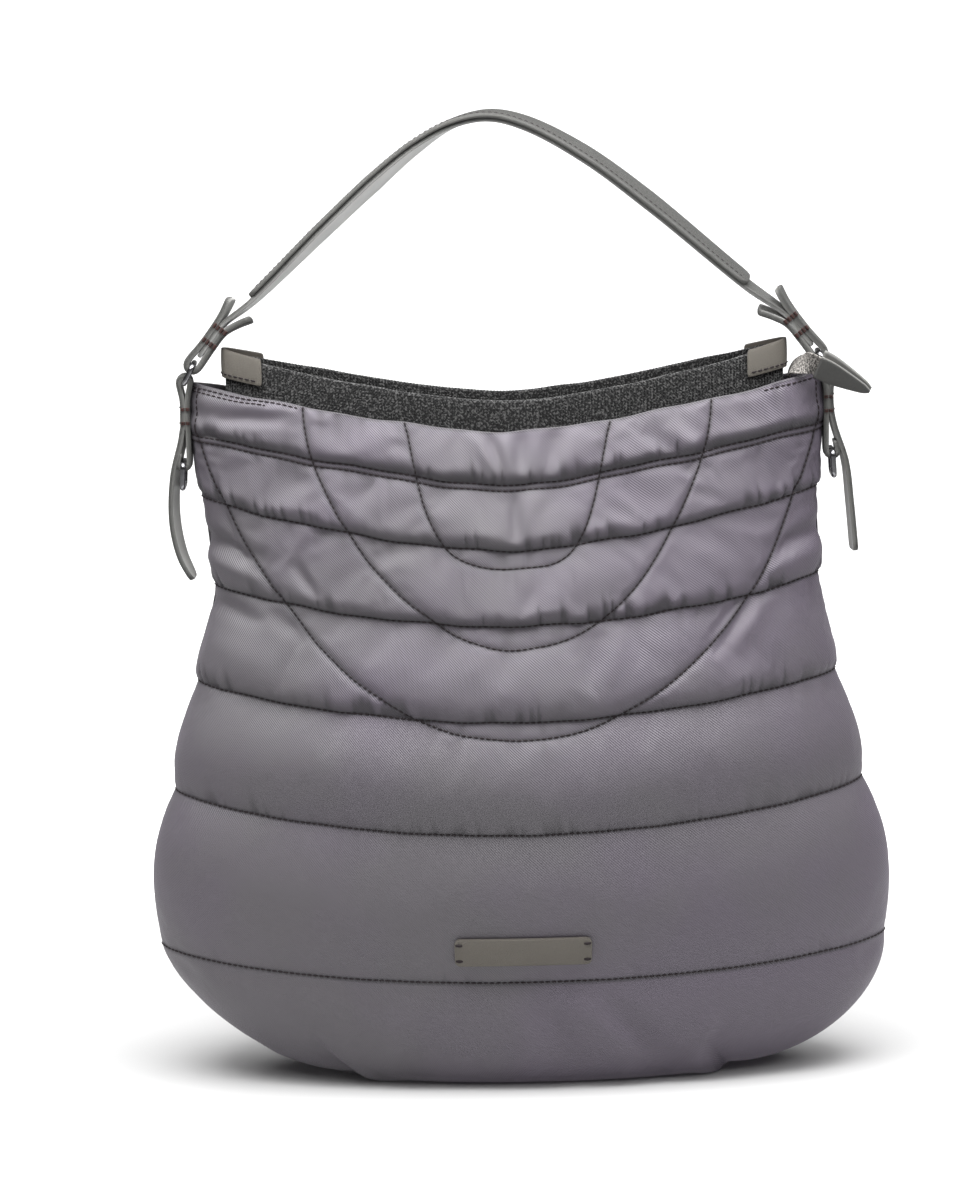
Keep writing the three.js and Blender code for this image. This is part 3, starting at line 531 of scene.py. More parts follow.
def channel_padding():
    """Swell of the padding in its channels: soft from the upper seam, (1 - (1 - t)^a), and steep down to
    the lower one, (1 - t^b), a little less at the sides, with a groove at the side seams and a low ridge
    between the two rows of the double seam."""
    t = channel_share
    swell = (1 - (1 - t) ** PUFF_TOP_POWER[channel]) * (1 - t ** PUFF_FOOT_POWER[channel])
    peak = np.linspace(0, 1, 200)[:, None]
    swell /= ((1 - (1 - peak) ** PUFF_TOP_POWER) * (1 - peak**PUFF_FOOT_POWER)).max(axis=0)[channel]
    swell = np.where(channel == LAST_SEAM, 1 - np.abs(2 * t - 1) ** 3, swell)
    swell = np.where(row_grid >= FLOOR_ROW, 0, swell)
    band = np.maximum(BAND_HALF_WIDTH[channel] - np.abs(down_place - top_place), 0)
    band += np.maximum(BAND_HALF_WIDTH[channel + 1] - np.abs(foot_place - down_place), 0)
    padding = PUFF[channel] * swell * (1 - SIDE_PUFF_LOSS[channel] * np.sin(side_grid * np.pi / 2) ** 4)
    padding = padding - SIDE_SEAM_GROOVE * np.exp(-side_apart / SIDE_SEAM_REACH) * (row_grid < FLOOR_ROW)
    return padding + BAND_RISE * np.sin(np.pi / 2 * band / BAND_HALF_WIDTH.max())


def patches(place, seed, length, middle, swing, least, most, more=0):
    """A strength that comes and goes along a seam: a middle and a wandering swing about it, within limits."""
    return np.clip(middle + swing * wander(place / length, seed) + more, least, most)


def ripple(place, apart, strength, seed, spacing, reach, start, depth):
    """A soft ripple along a seam: a wandering function of the place along it, which starts just off the
    seam and dies away over its reach."""
    near = np.exp(-apart / reach) * (1 - bell(apart, start))
    return depth * wander(place / spacing, seed) * strength * near


def seam_gathers(seed):
    """Gathers along the seams: narrow dents where a wandering function along the seam comes to nothing,
    which start just above the seam, reach up a few millimetres each and come and go along its length, and a
    soft ripple below the seam."""
    gathers = np.zeros_like(side_grid)
    place = across_place + GATHERS["slant"] * from_foot
    near_seam = np.exp(-from_foot / GATHER_WIDTH["fades_over"])
    width = GATHER_WIDTH["far"] + GATHER_WIDTH["more_at_seam"] * near_seam
    for k in range(LAST_SEAM + 1):
        depth = GATHERING[k] * (channel == k)
        first = seed + 10 * k
        dents = bell(wander(place / GATHERS["spacing"], first), width) - GATHERS["swell_between"]
        reach = patches(place, first + 1, **GATHER_REACH)
        strength = patches(place, first + 2, **GATHER_PATCHES)
        near_foot = bell(from_foot, reach) * (1 - bell(from_foot, GATHERS["start"]))
        gathers -= depth * GATHERS["depth"] * dents * strength * near_foot
        strength = patches(across_place, first + 4, **RIPPLE_PATCHES)
        gathers += depth * ripple(across_place, from_top, strength, first + 3, **RIPPLES)
    return gathers


def along_and_off(x0, z0, x1, z1):
    """Place of each point of the grid along a line in front view, from 0 to 1, and its distance off the
    line in millimetres, below zero on one side."""
    x = seam_surface[..., 0] - x0
    z = seam_surface[..., 2] - z0
    length = np.hypot(x1 - x0, z1 - z0)
    along = (x * (x1 - x0) + z * (z1 - z0)) / length**2
    return along, (x * (z1 - z0) - z * (x1 - x0)) / length


def front_folds():
    """Heights of the soft folds: a bell across each fold's line, eased to nothing at its two ends."""
    heights = np.zeros_like(side_grid)
    for *ends, width, height in FOLDS:
        along, off = along_and_off(*ends)
        share = (along + FOLD_TAPER["past_ends"]) / (1 + 2 * FOLD_TAPER["past_ends"])
        taper = np.sin(np.pi * np.clip(share, 0, 1)) ** FOLD_TAPER["power"]
        heights += height * bell(off, width) * taper
    return heights * np.where(row_grid < FLOOR_ROW - 0.1, 1, 0)


def tuck_dents():
    """Dents of the tucks where the base turns up: from the point of each to its foot the cloth beyond it
    steps in under the middle of the base, which rolls out a little, and the step fades away along the
    base."""
    dents = np.zeros_like(side_grid)
    for tuck in TUCKS:
        along, off = along_and_off(*tuck)
        beyond = off * -np.sign(tuck[0])
        grown = np.clip(along, 0, 1) ** TUCK["growth_power"]
        stepped = ease(np.clip((beyond - TUCK["step_from"]) / TUCK["step_width"], 0, 1))
        stepped = stepped * np.exp(-np.maximum(beyond, 0) / TUCK["fades_over"])
        rolled = TUCK_ROLL["share"] * bell(beyond - TUCK_ROLL["middle"], TUCK_ROLL["width"])
        dents += TUCK["depth"] * grown * (stepped - rolled)
    return dents * np.clip((FLOOR_ROW - row_grid) / 0.05, 0, 1)


def shell_surface(padding):
    """The padded surface: the seam surface moved out along its normals, kept above the floor, with normals
    that stay in the plane of the side seams and the base seam there."""
    normals = grid_normals(seam_surface)
    normals[:, [0, -1], 1] = 0
    normals[-1, :, 1] = 0
    normals = unit(normals)
    points = seam_surface + normals * padding[..., None]
    points[..., 2] = np.maximum(points[..., 2], 0)
    return points, normals


def relax_as_cloth(points, held, frames=12, most=3.5):
    """Moves of a grid of cloth that settles: it is held by weights from 0 to 1, cut a little too large for
    its place and pressed out by the padding. No point moves further than most millimetres."""
    trial = add_mesh("cloth_trial", points * MM, grid_faces(*points.shape[:2]).tolist())
    mesh = trial.data
    group = trial.vertex_groups.new(name="held")
    levels = np.round(held.ravel() * HOLD_LEVELS).astype(int)
    for level in range(1, HOLD_LEVELS + 1):
        group.add(np.flatnonzero(levels == level).tolist(), level / HOLD_LEVELS, "REPLACE")
    cloth = trial.modifiers.new("cloth", "CLOTH")
    cloth.point_cache.frame_start = 1
    cloth.point_cache.frame_end = frames
    for setting, value in CLOTH.items():
        setattr(cloth.settings, setting, value)
    cloth.settings.effector_weights.gravity = 0
    cloth.collision_settings.use_collision = False
    for number in range(1, frames + 1):
        bpy.context.scene.frame_set(number)
    settled = trial.evaluated_get(bpy.context.evaluated_depsgraph_get()).data
    places = np.zeros(points.size, np.float32)
    settled.vertices.foreach_get("co", places)
    bpy.context.scene.frame_set(1)
    bpy.data.objects.remove(trial)
    bpy.data.meshes.remove(mesh)
    moves = places.reshape(points.shape) / MM - points
    far = np.linalg.norm(moves, axis=-1, keepdims=True)
    return moves * np.minimum(1, most / np.maximum(far, 1e-6))


def between_steps(values, step, axis):
    """Values of a coarse grid at each point of one so many steps finer along an axis, linear between."""
    count = values.shape[axis]
    place = np.arange((count - 1) * step + 1) / step
    low = np.minimum(place.astype(int), count - 2)
    share = np.expand_dims(place - low, [other for other in range(values.ndim) if other != axis])
    return np.take(values, low, axis) * (1 - share) + np.take(values, low + 1, axis) * share


def edge_loop(row_count, column_count):
    """Numbers of the points once round a grid."""
    numbers = np.arange(row_count * column_count).reshape(row_count, column_count)
    return np.concatenate([numbers[0, :-1], numbers[:-1, -1], numbers[-1, :0:-1], numbers[:0:-1, 0]])


def lined_faces(row_count, column_count, step):
    """Faces of a shell: its outer grid, a lining grid with every step-th point, turned round, and between
    their edges a fan of triangles to each point of the lining's edge."""
    lining_rows = (row_count - 1) // step + 1
    lining_columns = (column_count - 1) // step + 1
    outer = grid_faces(row_count, column_count)
    lining = grid_faces(lining_rows, lining_columns)[:, ::-1] + row_count * column_count
    outer_edge = edge_loop(row_count, column_count)
    lining_edge = edge_loop(lining_rows, lining_columns) + row_count * column_count
    here = np.repeat(lining_edge, step)
    fans = np.stack([np.roll(outer_edge, -1), outer_edge, here], axis=1)
    next_outer = np.roll(outer_edge[::step], -1)
    links = np.stack([lining_edge, np.roll(lining_edge, -1), next_outer], axis=1)
    return [*outer.tolist(), *lining.tolist(), *fans.tolist(), *links.tolist()]


def make_piece(name, points, faces, finish, coordinates=None):
    """A smooth, closed mesh piece from points in millimetres, turned round if its volume comes out negative.
    coordinates become the point attribute that its finish follows."""
    points = points.reshape(-1, 3) * MM
    faces = [list(face) for face in faces]
    first = np.array([face[0] for face in faces for _ in face[2:]])
    second = np.array([corner for face in faces for corner in face[1:-1]])
    third = np.array([corner for face in faces for corner in face[2:]])
    volume = np.einsum("ij,ij->", points[first], np.cross(points[second], points[third]))
    piece = add_mesh(name, points, [face[::-1] for face in faces] if volume < 0 else faces)
    if coordinates is not None:
        attribute = piece.data.attributes.new("surface", "FLOAT_VECTOR", "POINT")
        attribute.data.foreach_set("vector", coordinates.astype(np.float32).ravel())
    piece.data.materials.append(finish)
    piece.data.update()
    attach(piece, "root")
    return piece


def surface_parts(shade):
    """The three numbers of a piece's own surface attribute."""
    place = shade.add("ShaderNodeAttribute", {"attribute_name": "surface"}, output=1)
    split = shade.add("ShaderNodeSeparateXYZ", sockets={0: place})
    outputs = split.socket.node.outputs
    return [Shade(shade.tree, outputs[k]) for k in range(3)]


TWILL_PITCH = 0.0015


def nylon_finish():
    """Grey-mauve twill with a satin sheen: ribs of the twill run diagonally, the tint drifts between grey
    and violet in broad clouds and towards the right, and painted shade darkens the cloth in the seams, in
    the gathers beside them and under the padding above each seam."""
    constants = {"Sheen Weight": 0.12, "Sheen Roughness": 0.4, "Sheen Tint": (0.9, 0.84, 0.96, 1)}
    material, shade, shader = new_finish("nylon_twill", {**constants, "Specular IOR Level": 0.7})
    across, down, seam = surface_parts(shade)
    ribs = (across - down).wave(TWILL_PITCH)
    clouds = shade.noise(9, 3)
    tint = (clouds + across * 0.6).between(0.38, 0.62)
    cloth = tint.mix((0.099, 0.0902, 0.102, 1), (0.103, 0.0848, 0.1145, 1))
    flecks = shade.noise(1400, 1)
    cloth = (flecks * 0.25 + ribs * 0.18).mix(cloth, (0.075, 0.069, 0.079, 1))
    # Painted shade: seam, the third surface number, darkens the cloth towards near black in seams, gathers
    # and under the padding above the seams.
    cloth = (seam * 0.92).mix(cloth, (0.012, 0.01, 0.013, 1))
    cloth.into(shader, "Base Color")
    (0.44 + clouds * 0.12).into(shader, "Roughness")
    ribs.bump(shader, 0.00015)
    return material


nylon = nylon_finish()
route_places = [u_seam_route(**seam) for seam in U_SEAMS]
u_gathers = np.zeros_like(side_grid)
u_apart = np.full(side_grid.shape, np.inf)
for k, route in enumerate(route_places):
    apart, place = nearest_on_line(seam_surface, shell_point(*route))
    strength = patches(place, 310 + k, **U_PATCHES)
    u_gathers += ripple(place, apart, strength, 300 + k, **U_RIPPLES)
    u_apart = np.minimum(u_apart, apart)

seam_apart = np.minimum(from_top, from_foot)
LABEL = {"half_width": 36.2, "middle_x": -0.7, "low_z": 71.5, "high_z": 87.5, "wall": 1.6, "corner": 3}
LABEL_MARGIN = 6
LABEL_HOLD = 0.9
label_middle = (LABEL["low_z"] + LABEL["high_z"]) / 2
label_height = LABEL["high_z"] - LABEL["low_z"]
label_off = np.maximum(
    np.abs(seam_surface[..., 0] - LABEL["middle_x"]) - LABEL["half_width"],
    np.abs(seam_surface[..., 2] - label_middle) - label_height / 2,
)
under_label = np.clip(1 - np.maximum(label_off, 0) / LABEL_MARGIN, 0, 1)


def panel(on_front):
    """A shell's padded skin as a grid of points in millimetres, relaxed as cloth that the seams hold, and
    the painted shade at each point, from 0 to 1: in a seam, in a gather or under the padding above a seam."""
    seed = 40 if on_front else 140
    padding = channel_padding()
    gathers = seam_gathers(seed)
    apart = seam_apart
    sewn_apart = line_apart
    held = np.maximum(row_grid > FLOOR_ROW - 0.02, LABEL_HOLD * under_label * on_front)
    if on_front:
        apart = np.minimum(apart, u_apart)
        sewn_apart = np.minimum(sewn_apart, u_apart)
        padding = padding * (1 - U_DEPTH_SHARE * np.exp(-u_apart / U_GROOVE))
        padding = padding + front_folds() * np.clip(apart / FOLD_MARGIN, 0, 1) * (1 - under_label)
        gathers = (gathers + u_gathers) * (1 - under_label)
    padding = padding - tuck_dents()
    points, _ = shell_surface(padding + gathers)
    held = np.maximum(held, bell(apart, HOLD_WIDTH))
    held[[0, -1]] = 1
    held[:, [0, -1]] = 1
    flat_points, _ = shell_surface(padding)
    coarse = np.s_[::CLOTH_STEP, ::CLOTH_STEP]
    moves = relax_as_cloth(flat_points[coarse], held[coarse]) * SLACK[channel[coarse]][..., None]
    points = points + between_steps(between_steps(moves, CLOTH_STEP, 0), CLOTH_STEP, 1)
    points[..., 2] = np.maximum(points[..., 2], 0)
    # Painted shade for the cloth's colour: dark along the stitch lines and side seams, in the valleys of the
    # gathers, and under the padding that rolls down onto each seam, more at the sides of the top channel.
    painted_seam_shade = np.maximum(bell(sewn_apart, 1), SIDE_SEAM_SHADE * bell(side_apart, 1))
    painted_gather_shade = np.clip(-gathers / GATHER_SHADE["full_depth"], 0, GATHER_SHADE["most"])
    more_shade_at_sides = SIDE_SHADE * np.sin(side_grid * np.pi / 2) ** 4 * (channel == 0)
    place = across_place + 7 * SHADE_PATCHES["length"] * channel
    strength = patches(place, seed + 5, **SHADE_PATCHES, more=more_shade_at_sides)
    painted_shade_above_seams = FOOT_SHADE[channel] * strength * bell(from_foot, FOOT_SHADE_REACH[channel])
    return points, np.maximum(painted_seam_shade, np.maximum(painted_gather_shade, painted_shade_above_seams))


lining_points, lining_normals = shell_surface(np.zeros_like(side_grid))
lining_points = (lining_points - SHELL_WALL * lining_normals)[::LINING_STEP, ::LINING_STEP]
panel_faces = lined_faces(*side_grid.shape, LINING_STEP)
panels = {}
for name, on_front in (("front_panel", True), ("back_panel", False)):
    skin, seam_shade = panel(on_front)
    turned = np.array([1, 1 if on_front else -1, 1])
    panels[name] = skin * turned, grid_normals(skin) * turned
    # The third surface number is the painted shade of the seams, gathers and padding above the seams; the
    # lining gets none.
    weave = np.stack([across_place * MM, down_place * MM, seam_shade], axis=-1)
    lining_weave = weave[::LINING_STEP, ::LINING_STEP] * [1, 1, 0]
    points = np.concatenate([(skin * turned).reshape(-1, 3), (lining_points * turned).reshape(-1, 3)])
    coordinates = np.concatenate([weave.reshape(-1, 3), lining_weave.reshape(-1, 3)])
    shell = make_piece(f"quilted_{name}", points, panel_faces, nylon, coordinates)
    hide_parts(name)


# The thread of the seams: dark brown lockstitch pulled down into the padding. It runs along every channel
# seam of both shells, twice along the second one, along the U seams of the front, along the hem of the rim
# and down beside the side seams of the top channel.
STITCH_PITCH = 3.3
STITCH_LENGTH = 3.1
STITCH_RADIUS = 0.42
STITCH_PLACES = np.array([-0.5, -0.3, 0, 0.3, 0.5])
STITCH_RISE = np.array([-0.8, 0.35, 0.75, 0.35, -0.8])
STITCH_GIRTH = np.array([0.4, 0.9, 1, 0.9, 0.4])
STITCH_SIDES = 6
SEAM_ENDS = 0.985
HEMS = [(-0.985, -0.46, 0.1), (-0.985, -0.55, 0.2), (0.6, 0.985, 0.15)]
SIDE_SEAM = 0.86
SIDE_SEAM_ROWS = (0.06, 0.92)
UPPER_CHANNEL_HEIGHT = 30


def on_panel(name, side, row):
    """Points and outward normals on a shell's skin at sides and rows: bilinear on its grid."""
    down = np.interp(row, rows, np.arange(len(rows)))
    over = np.interp(side, sides, np.arange(len(sides)))
    top = np.clip(down.astype(int), 0, len(rows) - 2)
    left = np.clip(over.astype(int), 0, len(sides) - 2)
    down = (down - top)[:, None]
    over = (over - left)[:, None]
    both = np.concatenate(panels[name], axis=-1)
    upper = both[top, left] * (1 - over) + both[top, left + 1] * over
    lower = both[top + 1, left] * (1 - over) + both[top + 1, left + 1] * over
    found = upper * (1 - down) + lower * down
    return found[:, :3], unit(found[:, 3:])


def stitches(line, normals, pitch=STITCH_PITCH, radius=STITCH_RADIUS):
    """Stitches along a line of points, as (stitch, station, side): at even steps a spindle with six sides,
    which rises out of the surface at its middle and dips into it at both ends."""
    walked = walked_along(line)
    centres = np.arange(pitch / 2, walked[-1], pitch)
    stations = centres[:, None] + STITCH_PLACES * STITCH_LENGTH * pitch / STITCH_PITCH
    spine = at_places(stations, walked, line)
    up = at_places(stations, walked, normals)
    sideways = unit(np.cross(up, spine[:, -1:] - spine[:, :1]))
    spine = spine + up * (radius * STITCH_RISE)[:, None]
    turn = (np.arange(STITCH_SIDES) * 2 * np.pi / STITCH_SIDES)[:, None]
    ring = sideways[:, :, None] * np.cos(turn) + up[:, :, None] * np.sin(turn)
    return spine[:, :, None] + (radius * STITCH_GIRTH)[:, None, None] * ring


def tack(start, run, reach, out, pitch, radius):
    """Stitches along a straight line on a surface that faces out: between two distances from a point, along a
    direction of length one."""
    line = start + np.linspace(*reach, 20)[:, None] * run
    return stitches(line, np.tile(out, (len(line), 1)), pitch, radius)


def stitch_faces(count):
    """Faces of so many stitches: the quads and the two caps of one spindle, numbered on for each."""
    size = len(STITCH_PLACES) * STITCH_SIDES
    starts = np.arange(count)[:, None, None] * size
    quads = starts + grid_faces(len(STITCH_PLACES), STITCH_SIDES, columns_close=True)
    caps = np.stack([np.arange(STITCH_SIDES)[::-1], size - STITCH_SIDES + np.arange(STITCH_SIDES)])
    return [*quads.reshape(-1, 4).tolist(), *(starts + caps).reshape(-1, STITCH_SIDES).tolist()]


def thread_finish(name, dark, light):
    """Sewing thread between two tones, mottled by fine noise."""
    material, shade, shader = new_finish(name, {"Specular IOR Level": 0.3})
    mottle = shade.noise(700)
    mottle.mix(dark, light).into(shader, "Base Color")
    (0.5 + mottle * 0.4).into(shader, "Roughness")
    return material


seam_thread = thread_finish("seam_thread", (0.007, 0.005, 0.006, 1), (0.028, 0.019, 0.022, 1))
over = np.linspace(-SEAM_ENDS, SEAM_ENDS, 500)
double_seam = BAND_HALF_WIDTH[1] / UPPER_CHANNEL_HEIGHT
seam_rows = [1 - double_seam, 1 + double_seam, *range(2, LAST_SEAM + 1)]
upright = np.linspace(*SIDE_SEAM_ROWS, 60)
for name in panels:
    routes = [(over, np.full_like(over, row)) for row in seam_rows]
    routes += [(np.full_like(upright, edge), upright) for edge in (-SIDE_SEAM, SIDE_SEAM)]
    routes += [(np.linspace(start, end, 120), np.full(120, row)) for start, end, row in HEMS]
    routes += route_places if name == "front_panel" else []
    sewn = np.concatenate([stitches(*on_panel(name, side, row)) for side, row in routes])
    make_piece(f"seam_thread_{name}", sewn, stitch_faces(len(sewn)), seam_thread)


# The collar: a charcoal flecked rib knit, folded over at its top edge and sewn inside the rim of the
# shells, so that it stands up all round the mouth and reaches a little higher at its ends.
COLLAR = {"middle_x": -4.5, "half_length": 150, "half_depth": 26.4, "squareness": 2.2, "wall": 3, "below": 9}
KNIT_HEIGHT = {"middle": 16, "end_rise": 3.5}
RIB_PITCH = 1.75
RIB_DEPTH = 0.35
RIB_STEPS = 6
KNIT_LOOP_PITCH = 0.0016
KNIT_LOOP_BOW = 2.2
WALL_STEPS = 10
LIP_STEPS = 9
LIP_WANDER = {"height": 0.4, "length": 16}


def rim_height(x):
    """Height of the nylon rim over a place across the bag, by the dip of the first seam."""
    share = (x - SEAMS["lean"][0]) / SEAMS["half_width"][0]
    return SEAMS["mid_z"][0] + (SEAMS["side_z"][0] - SEAMS["mid_z"][0]) * dip_share(share, SEAMS["sag"][0])


def collar_point(angle, inset, rise):
    """A point on the collar: a squared oval from above, set in, so far above the rim. 0 is its right end."""
    across, out = (
        np.sign(part) * np.abs(part) ** (2 / COLLAR["squareness"]) for part in (np.cos(angle), np.sin(angle))
    )
    x = COLLAR["middle_x"] + (COLLAR["half_length"] - inset) * across
    y = (COLLAR["half_depth"] - inset) * out
    return np.stack([x, y, rim_height(x) + rise], axis=-1)


def knit_height(angle):
    """Height of the knit above the rim: more towards the ends by the square of the cosine."""
    return KNIT_HEIGHT["middle"] + KNIT_HEIGHT["end_rise"] * np.cos(angle) ** 2


def knit_surface():
    """The collar as rings of a section: up its outer wall, over a round lip and down its inner wall. Each
    wall is ribbed by a cosine along the collar, and the lip wanders a little."""
    fine_angle = np.linspace(0, 2 * np.pi, 8001)
    walked = walked_along(collar_point(fine_angle, 0, 0)[:, :2])
    ribs = int(walked[-1] / RIB_PITCH)
    place = np.linspace(0, walked[-1], ribs * RIB_STEPS, endpoint=False)
    angle = np.interp(place, walked, fine_angle)[:, None]
    rib = 0.5 + 0.5 * np.cos(2 * np.pi * ribs * place / walked[-1])[:, None]
    valley = RIB_DEPTH * (1 - rib)
    lip = COLLAR["wall"] / 2
    top = knit_height(angle) - lip - 0.5 * valley
    top = top + LIP_WANDER["height"] * wander(place / LIP_WANDER["length"], 70)[:, None]
    share = np.linspace(0, 1, WALL_STEPS, endpoint=False)
    bend = np.linspace(0, np.pi, LIP_STEPS)
    rise = np.concatenate(
        [-COLLAR["below"] + (top + COLLAR["below"]) * share, top + lip * np.sin(bend)]
        + [top - (top + COLLAR["below"]) * np.append(share[1:], 1)],
        axis=1,
    )
    outer = valley + 0 * share
    folded = lip - (lip - valley) * np.cos(bend)
    inner = COLLAR["wall"] - valley + 0 * share
    inset = np.concatenate([outer, folded, inner], axis=1)
    points = collar_point(angle + 0 * inset, inset, rise)
    coordinates = np.stack([place[:, None] * MM + 0 * inset, rise * MM, rib + 0 * inset], axis=-1)
    return points, coordinates


def knit_finish():
    """Salt-and-pepper yarn: charcoal with pale fibres twisted in, painted shade in the valleys between the
    ribs, and loops that follow one another up each rib."""
    material, shade, shader = new_finish("rib_knit", {"Sheen Weight": 0.25, "Specular IOR Level": 0.2})
    _, rise, rib = surface_parts(shade)
    loops = rise.wave(KNIT_LOOP_PITCH, rib * KNIT_LOOP_BOW)
    fibres = shade.noise(860).between(0.515, 0.575)
    yarn = fibres.mix((0.004, 0.004, 0.004, 1), (0.09, 0.089, 0.088, 1))
    # Painted shade: the yarn darkens towards black in the valleys between the ribs.
    yarn = ((1 - rib) * 0.42).mix(yarn, (0.01, 0.01, 0.011, 1))
    yarn.into(shader, "Base Color")
    (0.8 + fibres * 0.15).into(shader, "Roughness")
    (loops * 0.6 + fibres * 0.4).bump(shader, 0.0004)
    return material


knit_points, knit_coordinates = knit_surface()
knit_faces = grid_faces(*knit_points.shape[:2], rows_close=True, columns_close=True)
collar = make_piece("ribbed_collar", knit_points, knit_faces, knit_finish(), knit_coordinates)
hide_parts("knit_collar")


# The collar's tabs: small pieces of smooth taupe leather folded round both ends of the knit and sewn
# through it, with a row of dark stitches along the lower edge.
TAB = {"sweep": 0.56, "wall": 1.6, "from_rim": 6, "above_knit": 2.2, "corner": 1.5}
TAB_STITCHES = {"up": 2.4, "pitch": 3.6, "ends": 6}
END_SHARES = np.array([0, 0.04, 0.15, 0.35, 0.65])
END_THINNING = 0.7
QUARTER = np.linspace(0, np.pi / 2, 5)
FACE = np.linspace(1, -1, 14)[1:-1]
FLAT = np.full(len(FACE), np.pi / 2)
ONE = np.ones(len(QUARTER))
SECTION_TURN = np.concatenate(
    [QUARTER, FLAT, QUARTER + np.pi / 2, QUARTER + np.pi, FLAT + np.pi, QUARTER + 1.5 * np.pi]
)
SECTION_ACROSS = np.concatenate([ONE, FACE, -ONE, -ONE, -FACE, ONE])
SECTION_OUT = np.sign(np.concatenate([ONE, 1 + 0 * FACE, ONE, -ONE, -1 + 0 * FACE, -ONE]))


def end_steps(path, step, end=0.8):
    """Even places along a path, with a few more close to both ends for the rounding there."""
    length = walked_along(path)[-1]
    near = end * END_SHARES
    even = np.linspace(end, length - end, max(int(length / step), 2))
    return np.concatenate([near, even, length - near[::-1]])


def capped_faces(stations, around):
    """Faces of a row of rings: quads round and along it, and a cap at each end."""
    caps = [list(range(around))[::-1], list(range((stations - 1) * around, stations * around))]
    return [*grid_faces(stations, around, columns_close=True).tolist(), *caps]


def strap_piece(name, finish, path, across, out, width, thickness, crown=0, bend=0, edge=0.55, end=0.8):
    """A strap as a piece with its own coordinates: at each step of its path a flat section with round
    edges. Its outer face is crowned and the whole bent by one less the square of the share across, and the
    section draws in by a quarter circle at both ends."""
    place = walked_along(path)
    to_end = np.minimum(np.minimum(place, place[-1] - place) / end, 1)
    drawn = end * (1 - np.sqrt(1 - (1 - to_end) ** 2))[:, None]
    half_width = np.reshape(width, (-1, 1)) / 2 - drawn
    half_thick = thickness / 2 - np.minimum(drawn, thickness / 2 * END_THINNING)
    rounding = np.minimum(edge, half_thick)
    a = SECTION_ACROSS * (half_width - rounding) + rounding * np.cos(SECTION_TURN)
    b = SECTION_OUT * (half_thick - rounding) + rounding * np.sin(SECTION_TURN)
    face = b / half_thick
    swell = 1 - (a / half_width) ** 2
    b = b + swell * (crown * (SECTION_OUT > 0) + np.reshape(bend, (-1, 1)))
    points = path[:, None] + a[..., None] * across[:, None] + b[..., None] * out[:, None]
    coordinates = np.stack([place[:, None] * MM + 0 * a, a / half_width, face], axis=-1)
    return make_piece(name, points, capped_faces(*a.shape), finish, coordinates)


def rounded_ends(path, width, corner, both=True):
    """Widths along a path with round corners at its start, or at both ends, each a quarter circle."""
    place = walked_along(path)
    to_end = np.minimum(place, place[-1] - place) if both else place
    left = corner - np.minimum(to_end, corner)
    return width - 2 * (corner - np.sqrt(corner**2 - left**2))


def leather_finish(name, tone, pore, edge_tone, inner_tone, grain):
    """Leather: pebbled grain with darker pores between the pebbles on the outer face, a smoother inner face
    of its own tone, painted edges and darker clouds of wear, rougher where it is wrinkled."""
    material, shade, shader = new_finish(name, {"Specular IOR Level": 0.5})
    _, across, face = surface_parts(shade)
    pebbles = shade.add("ShaderNodeTexVoronoi", sockets={"Scale": grain, "Randomness": 1})
    wrinkles = shade.noise(grain * 0.6, 3)
    clouds = shade.noise(60, 3)
    outer = face.between(-0.9, 0.4)
    edge = shade.math("ABSOLUTE", across).between(0.93, 0.97)
    colour = (pebbles * 0.8 + wrinkles * 0.3 - 0.1).mix(tone, pore)
    colour = outer.mix(inner_tone, colour)
    # Edge colour: the leather's edge paint, which on the dark-edged taupe leather is also painted shade round
    # the label's outline.
    colour = (edge * 0.7).mix(colour, edge_tone)
    colour = (clouds * 0.35).mix(colour, pore)
    colour.into(shader, "Base Color")
    (0.34 + wrinkles * 0.2 + outer * 0.06).into(shader, "Roughness")
    ((1 - pebbles) * 0.7 * outer + wrinkles * 0.3).bump(shader, 0.0003)
    return material


taupe = leather_finish(
    "taupe_leather",
    tone=(0.215, 0.196, 0.165, 1),
    pore=(0.13, 0.117, 0.1, 1),
    edge_tone=(0.045, 0.038, 0.033, 1),
    inner_tone=(0.1, 0.088, 0.075, 1),
    grain=1500,
)


def collar_tab(end_angle):
    """A tab's path along the knit, the directions across it and out of it, and its height at each step."""
    angle = end_angle + TAB["sweep"] * np.linspace(-1, 1, 400)
    low = TAB["from_rim"]
    high = knit_height(angle) + TAB["above_knit"]
    path = collar_point(angle, -SHELL_GAP - TAB["wall"] / 2, (low + high) / 2)
    steps = end_steps(path, 0.9)
    place = walked_along(path)
    path = at_places(steps, place, path)
    height = np.interp(steps, place, high - low)
    along = np.gradient(path, axis=0)
    out = unit(np.stack([along[:, 1], -along[:, 0], 0 * steps], axis=1))
    across = np.tile([0.0, 0, 1], (len(steps), 1))
    return path, across, out, height


dark_stitches = []
for name, end_angle in (("collar_tab_left", np.pi), ("collar_tab_right", 0)):
    path, across, out, height = collar_tab(end_angle)
    width = rounded_ends(path, height, TAB["corner"])
    tab = strap_piece(f"leather_{name}", taupe, path, across, out, width, TAB["wall"], crown=0.3)
    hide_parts(name)
    sewn_line = path + across * (TAB_STITCHES["up"] - height[:, None] / 2) + out * (TAB["wall"] / 2 + 0.1)
    sewn = slice(TAB_STITCHES["ends"], -TAB_STITCHES["ends"])
    dark_stitches.append(stitches(sewn_line[sewn], out[sewn], TAB_STITCHES["pitch"]))


# The label: a bare patch of the same taupe leather with round corners, laid on the front above the last
# seam and held by two dark stitches at each end.
LABEL_STITCHES = {"steps": (5, -6), "off_middle": 4.6, "reach": (-4.6, 1.2), "sunk": 0.35}
HEIGHT_TO_A_ROW = 85


